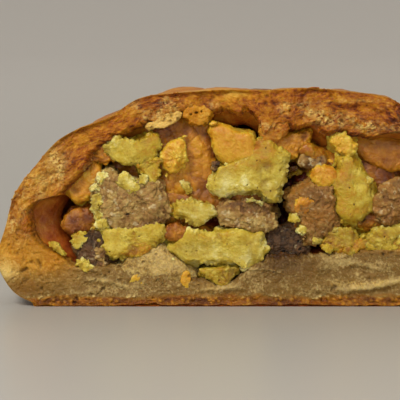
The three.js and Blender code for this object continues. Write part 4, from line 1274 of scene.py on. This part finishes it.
def strewnPlaces(food, draw):
    # small crumbs along the edges of the food's own pieces, and loose curds in the gaps between all pieces;
    # in each gap lies the food whose spots weigh most there
    look = crumbs[food]
    homes = [shape for shape in pieces.values() if shape["food"] == food]
    strewn = []
    for _ in range(look["strewn"]):
        shape = homes[draw.integers(len(homes))]
        edge = splinePoints(shape["outline"], 64, closed=True)[draw.integers(64)]
        size = draw.uniform(*look["size"])
        tone = shape.get("tone", 0.4) + draw.normal(-0.05, 0.12)
        strewn.append((*(edge + draw.normal(0, 0.4, 2)), shape["recess"] + draw.uniform(0.5, 2.6), size,
                       size * draw.uniform(0.4, 0.8), tone))
    spread = np.stack([draw.uniform(-40, 43, look["loose"]), draw.uniform(6, 35, look["loose"])], axis=-1)
    weights = {key: spotsAt(spread[:, 0], spread[:, 1], zones[key]) for key in crumbs}
    inside = np.array([insideOutline(heap["outline"], where) for where in spread])
    chosen = inside & (weights[food] >= np.max([weights[key] for key in crumbs], axis=0))
    chosen &= spotsAt(spread[:, 0], spread[:, 1], heap["holes"]) < 0.8
    chosen &= spotsAt(spread[:, 0], spread[:, 1], zones["bare"]) < 0.5
    loose = []
    for x, z in spread[chosen]:
        size = draw.uniform(*look["looseSize"])
        loose.append((x, z, draw.uniform(*look["looseRecess"]) + size, size, size * draw.uniform(0.6, 1),
                      look["looseTone"] + draw.normal(0, 0.14)))
    return strewn, loose


def insideOutline(outline, where):
    # counts how often a level line from the point crosses the outline
    corners = np.array(outline, float)
    ahead = np.roll(corners, -1, axis=0)
    straddles = (corners[:, 1] > where[1]) != (ahead[:, 1] > where[1])
    rise = np.where(straddles, ahead[:, 1] - corners[:, 1], 1)
    crossing = corners[:, 0] + (where[1] - corners[:, 1]) * (ahead[:, 0] - corners[:, 0]) / rise
    return (straddles & (crossing > where[0])).sum() % 2 == 1


def clustered(places, count, draw):
    # each crumb becomes one core and a few smaller nubs strewn over it, which lean out past its edge
    places = np.repeat(np.array(places, float), count, axis=0)
    first = np.arange(len(places)) % count == 0
    turn = draw.uniform(0, 2 * math.pi, len(places))
    reach = np.where(first, 0, draw.uniform(0.35, 0.8, len(places)))
    places[:, 0] += reach * np.cos(turn) * places[:, 3]
    places[:, 1] += reach * np.sin(turn) * places[:, 4]
    places[:, 2] += np.where(first, 0.25, draw.uniform(-0.3, 0.4, len(places))) * places[:, 4]
    places[:, 3:5] *= np.where(first, 0.85, draw.uniform(0.28, 0.6, len(places)))[:, None]
    places[:, 5] += np.where(first, 0.06, draw.normal(-0.03, 0.06, len(places)))
    return places


def makeCrumbs(food):
    # small closed lumps: a ball of sin and cos, stretched, leant over and roughened, one for each place
    look = crumbs[food]
    draw = np.random.default_rng(look["seed"])
    rings, around = crumbGrid
    strewn, loose = strewnPlaces(food, draw)
    places = np.concatenate([clustered(look["placed"], 6, draw), strewn, clustered(loose, 4, draw)])
    scraps, scrapQuads, scrapTriangles, scrapTone, scrapPit = makeScraps(food)
    total = len(places)
    up = (np.arange(rings) + 0.5) / rings * math.pi
    turn = np.arange(around) / around * 2 * math.pi
    ball = np.stack([np.sin(up)[:, None] * np.cos(turn), -np.cos(up)[:, None] + 0 * turn,
                     np.sin(up)[:, None] * np.sin(turn)], axis=-1)
    ball = withPoles(ball)[None] + np.zeros((total, 1, 1))
    seedShift = np.arange(total)[:, None, None] * np.array([3.7, 9.1, 5.3])
    rough = 0.6 * bumps(ball + seedShift, 1.2, 3) + 0.4 * creases(ball + seedShift, 0.8, 5, 2, 0.7)
    size = places[:, 3:4]
    lean = draw.uniform(-1.2, 1.2, total)[:, None]
    shape = ball * np.clip(0.75 + 0.7 * rough, 0.2, 1.7)[..., None]
    x, y, z = shape[..., 0] * size, shape[..., 1] * 0.8 * size, shape[..., 2] * places[:, 4:5]
    points = np.stack([places[:, :1] + x * np.cos(lean) - z * np.sin(lean), cutY + places[:, 2:3] + y,
                       places[:, 1:2] + x * np.sin(lean) + z * np.cos(lean)], axis=-1)
    # the food's surface, with its painted shade in hollows and painted light on raised parts
    push, shadeAndStain, drift = details[food](points, 5)
    points = points + ball * (push * np.minimum(1, size / 1.5))[..., None]
    tone = places[:, 5:6] + drift
    size = rings * around + 2
    faces = [ballFaces(rings, around, len(scraps) + n * size) for n in range(total)]
    quads = np.concatenate([scrapQuads] + [face[0] for face in faces])
    triangles = np.concatenate([scrapTriangles] + [face[1] for face in faces])
    piece = addMesh(food + "Crumbs", np.concatenate([scraps, points.reshape(-1, 3)]), quads, triangles,
                    {"tone": np.concatenate([scrapTone, tone.ravel()]),
                     "shadeAndStain": np.concatenate([scrapPit, shadeAndStain.ravel()])}, [finishes[food]])
    print(food, "crumbs:", total, "with", 2 * len(quads) + len(triangles), "triangles")


for food in crumbs:
    makeCrumbs(food)
print("crumbs made")


# Low lumps of dough, and bits of melted cheese

doughLumps = {
    "doughRise": {
        "outline": [(-31, 4.5), (-28, 9.5), (-24.5, 12), (-21, 12.5), (-18.5, 10.5), (-14, 5)],
        "recess": 0.6, "depth": 14, "height": 0.5, "spacing": 3.0, "torn": 0.35, "tone": 0.1, "dry": 0.4},
    "roofStrip": {
        "outline": [(-23.5, 36.3), (-21, 37.9), (-17.5, 39.3), (-16.6, 38.6), (-18.5, 37), (-22, 35.8)],
        "recess": 0.35, "depth": 1.8, "height": 0.2, "spacing": 2.0, "torn": 0.24, "tone": 0.07, "dry": 0.5,
        "wet": 0.6, "squareness": 0.25},
    "neckLump": {
        "outline": [(0, 33), (-0.5, 35.5), (0.5, 37.2), (3, 37), (4.4, 35.2), (3.2, 33.6), (1.2, 32.4)],
        "recess": 0.6, "depth": 4, "height": 0.5, "spacing": 2.0, "torn": 0.4, "tone": 0.42, "dry": 0.15,
        "wet": 1.0},
    "meltedBit": {
        "outline": [(-27.4, 5.0), (-26.4, 6.4), (-24.4, 6.6), (-23.2, 5.4), (-24, 4.2), (-26, 3.9)],
        "recess": 0.72, "depth": 3, "height": 0.2, "spacing": 2.0, "torn": 0.15, "tone": 0.17, "dry": 0.0,
        "squareness": 0.3, "food": "cheese"},
    "meltedSliver": {
        "outline": [(-16.4, 3.8), (-16.2, 6.0), (-15.4, 7.0), (-14.8, 5.8), (-15, 3.6), (-15.8, 2.9)],
        "recess": 0.72, "depth": 3, "height": 0.2, "spacing": 2.0, "torn": 0.15, "tone": 0.2, "dry": 0.0,
        "squareness": 0.3, "food": "cheese"},
    "roofBridge": {
        "outline": [(-16.0, 39.4), (-14.4, 40.3), (-11.6, 40.1), (-10.6, 38.6), (-11.6, 37.1), (-14.2, 36.9),
                    (-15.4, 38.0)],
        "recess": 0.4, "depth": 3, "height": 0.2, "spacing": 1.8, "torn": 0.4, "tone": 0.23, "dry": 0.0,
        "wet": 1.0, "squareness": 0.5,
        # x, z, half width, half height, depth
        "pits": [(-14.6, 38.7, 0.2, 0.2, 0.8), (-13.5, 39.0, 0.36, 0.22, 1.0),
                 (-12.5, 39.3, 0.18, 0.2, 0.7)]},
}


def makeDoughLump(name):
    # a lump with soft swells, torn crests on its sides and small pores
    shape = doughLumps[name]
    around, rings = lumpSteps(shape, (70, 260), (36, 100))
    grid, seed = lumpGrid(shape, rings, around)
    near, _, own = cells(grid, 1.3, seed + 60)
    pores = (1 - smoothStep(near, 0.1, 0.4)) * (own > 0.6)
    normals = outwardNormals(grid)
    side = 1 - normals[..., 1] ** 2
    push = 0.16 * layered(grid, 2.0, seed + 80, 4, 0.6) - 0.25 * pores
    push += 0.06 * creases(grid, 1.2, seed + 85, 3, 0.65)
    push += shape["torn"] * (creases(grid, 1.8, seed + 90, 3, 0.65) - 0.2) * side
    hollows = np.clip(spotsAt(grid[..., 0], grid[..., 2], shape.get("pits", [])), 0, 1)
    grid[..., 1] += hollows
    points = withPoles(grid + normals * push[..., None])
    points[:, 2] = np.maximum(points[:, 2], 0.5)
    quads, triangles = ballFaces(rings, around)
    same = np.ones(grid.shape[:2])
    # painted shade in the pores and the pits
    values = {"tone": shape["tone"] + 0.1 * bumps(grid, 3.0, 5), "shadeAndStain": 0.5 * pores + hollows,
              "dry": shape["dry"] * same, "wet": shape.get("wet", 0) * same,
              "run": 0.5 * grid[..., 0] * mm, "rise": grid[..., 2] * mm}
    piece = addMesh(name, points, quads, triangles, {key: withPoles(value) for key, value in values.items()},
                    [finishes[shape.get("food", "crumb")]])


for name in doughLumps:
    makeDoughLump(name)
print("dough lumps made")


# Stage, light and camera

stage = {
    "floor": "#a19f99",
    "backdrop": "#d2cdc6",
    "floorRadius": 900.0,
    "rimHeight": 900.0,
    "distance": 400.0,
    "lens": 180.0,
    "aim": (-12.8, cutY, 21.6),
    "elevation": 7.0,
    "relief": 0.0,
    "surface": {"Roughness": 0.35, "IOR": 1.45},
    "lights": [
        # name, place in metres, width, power in watts, colour
        ("keyLight", (-0.34, -0.55, 0.62), 0.32, 7.0, "#fff9f0"),
        ("fillLight", (0.5, -0.6, 0.25), 0.7, 1.0, "#fff9f0"),
        ("frontLight", (-0.05, -0.75, 0.12), 0.25, 1.0, "#fff9f0"),
        ("backLight", (0.15, 0.6, 0.8), 0.7, 1.8, "#fffaf4")],
    "ambient": 0.5,
    "ambientColor": "#f4f2ee",
}


def makeStage():
    # a flat disc whose rim sweeps up all round: radius R + H sin(a), height H (1 - cos(a))
    material, tree, place, _ = newMaterial("paleFloor", stage)
    # paler with distance from the middle: painted light that makes up for the light falling off towards the
    # backdrop
    away = addNode(tree, "VectorMath", {0: place}, out="Value", operation="LENGTH")
    color = addNode(tree, "ValToRGB", {"Fac": away}, stops=[(0.1, stage["floor"]), (0.9, stage["backdrop"])])
    finishMaterial(material, color, away, stage)
    around, rings = 96, 24
    turn = np.arange(around) / around * 2 * math.pi
    bend = np.linspace(0, math.pi / 2, rings)
    radius = np.concatenate([[1.0], stage["floorRadius"] + stage["rimHeight"] * np.sin(bend)])[:, None]
    height = np.concatenate([[0.0], stage["rimHeight"] * (1 - np.cos(bend))])[:, None]
    points = np.stack([radius * np.cos(turn), radius * np.sin(turn), height + 0 * turn], axis=-1) * mm
    index = np.arange(points.shape[0] * around).reshape(-1, around)
    beside = np.roll(index, -1, axis=1)
    quads = np.stack([index[:-1], index[1:], beside[1:], beside[:-1]], axis=-1).reshape(-1, 4)
    mesh = bpy.data.meshes.new("floor")
    mesh.from_pydata(points.reshape(-1, 3).tolist(), [], quads.tolist() + [index[0].tolist()])
    mesh.polygons.foreach_set("use_smooth", np.ones(len(mesh.polygons), bool))
    mesh.materials.append(material)
    floor = bpy.data.objects.new("floor", mesh)
    bpy.context.scene.collection.objects.link(floor)


def addLight(name, place, width, power, code):
    # a round soft light, turned towards the food
    light = bpy.data.lights.new(name, "AREA")
    light.shape = "DISK"
    light.size = width
    light.energy = power
    light.color = linearColor(code)[:3]
    lamp = bpy.data.objects.new(name, light)
    lamp.location = place
    towards = Vector((0, cutY * mm, 0.02)) - Vector(place)
    lamp.rotation_euler = towards.to_track_quat("-Z", "Y").to_euler()
    bpy.context.scene.collection.objects.link(lamp)


def makeCamera():
    # it stands off from the aim by the distance, raised by the elevation, and looks straight at the aim
    rise = math.radians(stage["elevation"])
    away = Vector((0, -math.cos(rise), math.sin(rise))) * stage["distance"] * mm
    camera = bpy.data.cameras.new("camera")
    camera.lens = stage["lens"]
    camera.sensor_width = 36
    camera.clip_start = 0.01
    view = bpy.data.objects.new("camera", camera)
    view.location = Vector(stage["aim"]) * mm + away
    view.rotation_euler = (-away).to_track_quat("-Z", "Y").to_euler()
    bpy.context.scene.collection.objects.link(view)
    bpy.context.scene.camera = view


makeStage()
makeCamera()
for light in stage["lights"]:
    addLight(*light)
world = bpy.data.worlds.new("studio")
bpy.context.scene.world = world
world.use_nodes = True
world.node_tree.nodes["Background"].inputs["Color"].default_value = linearColor(stage["ambientColor"])
world.node_tree.nodes["Background"].inputs["Strength"].default_value = stage["ambient"]
bpy.context.scene.view_settings.view_transform = "Standard"
print("stage set")
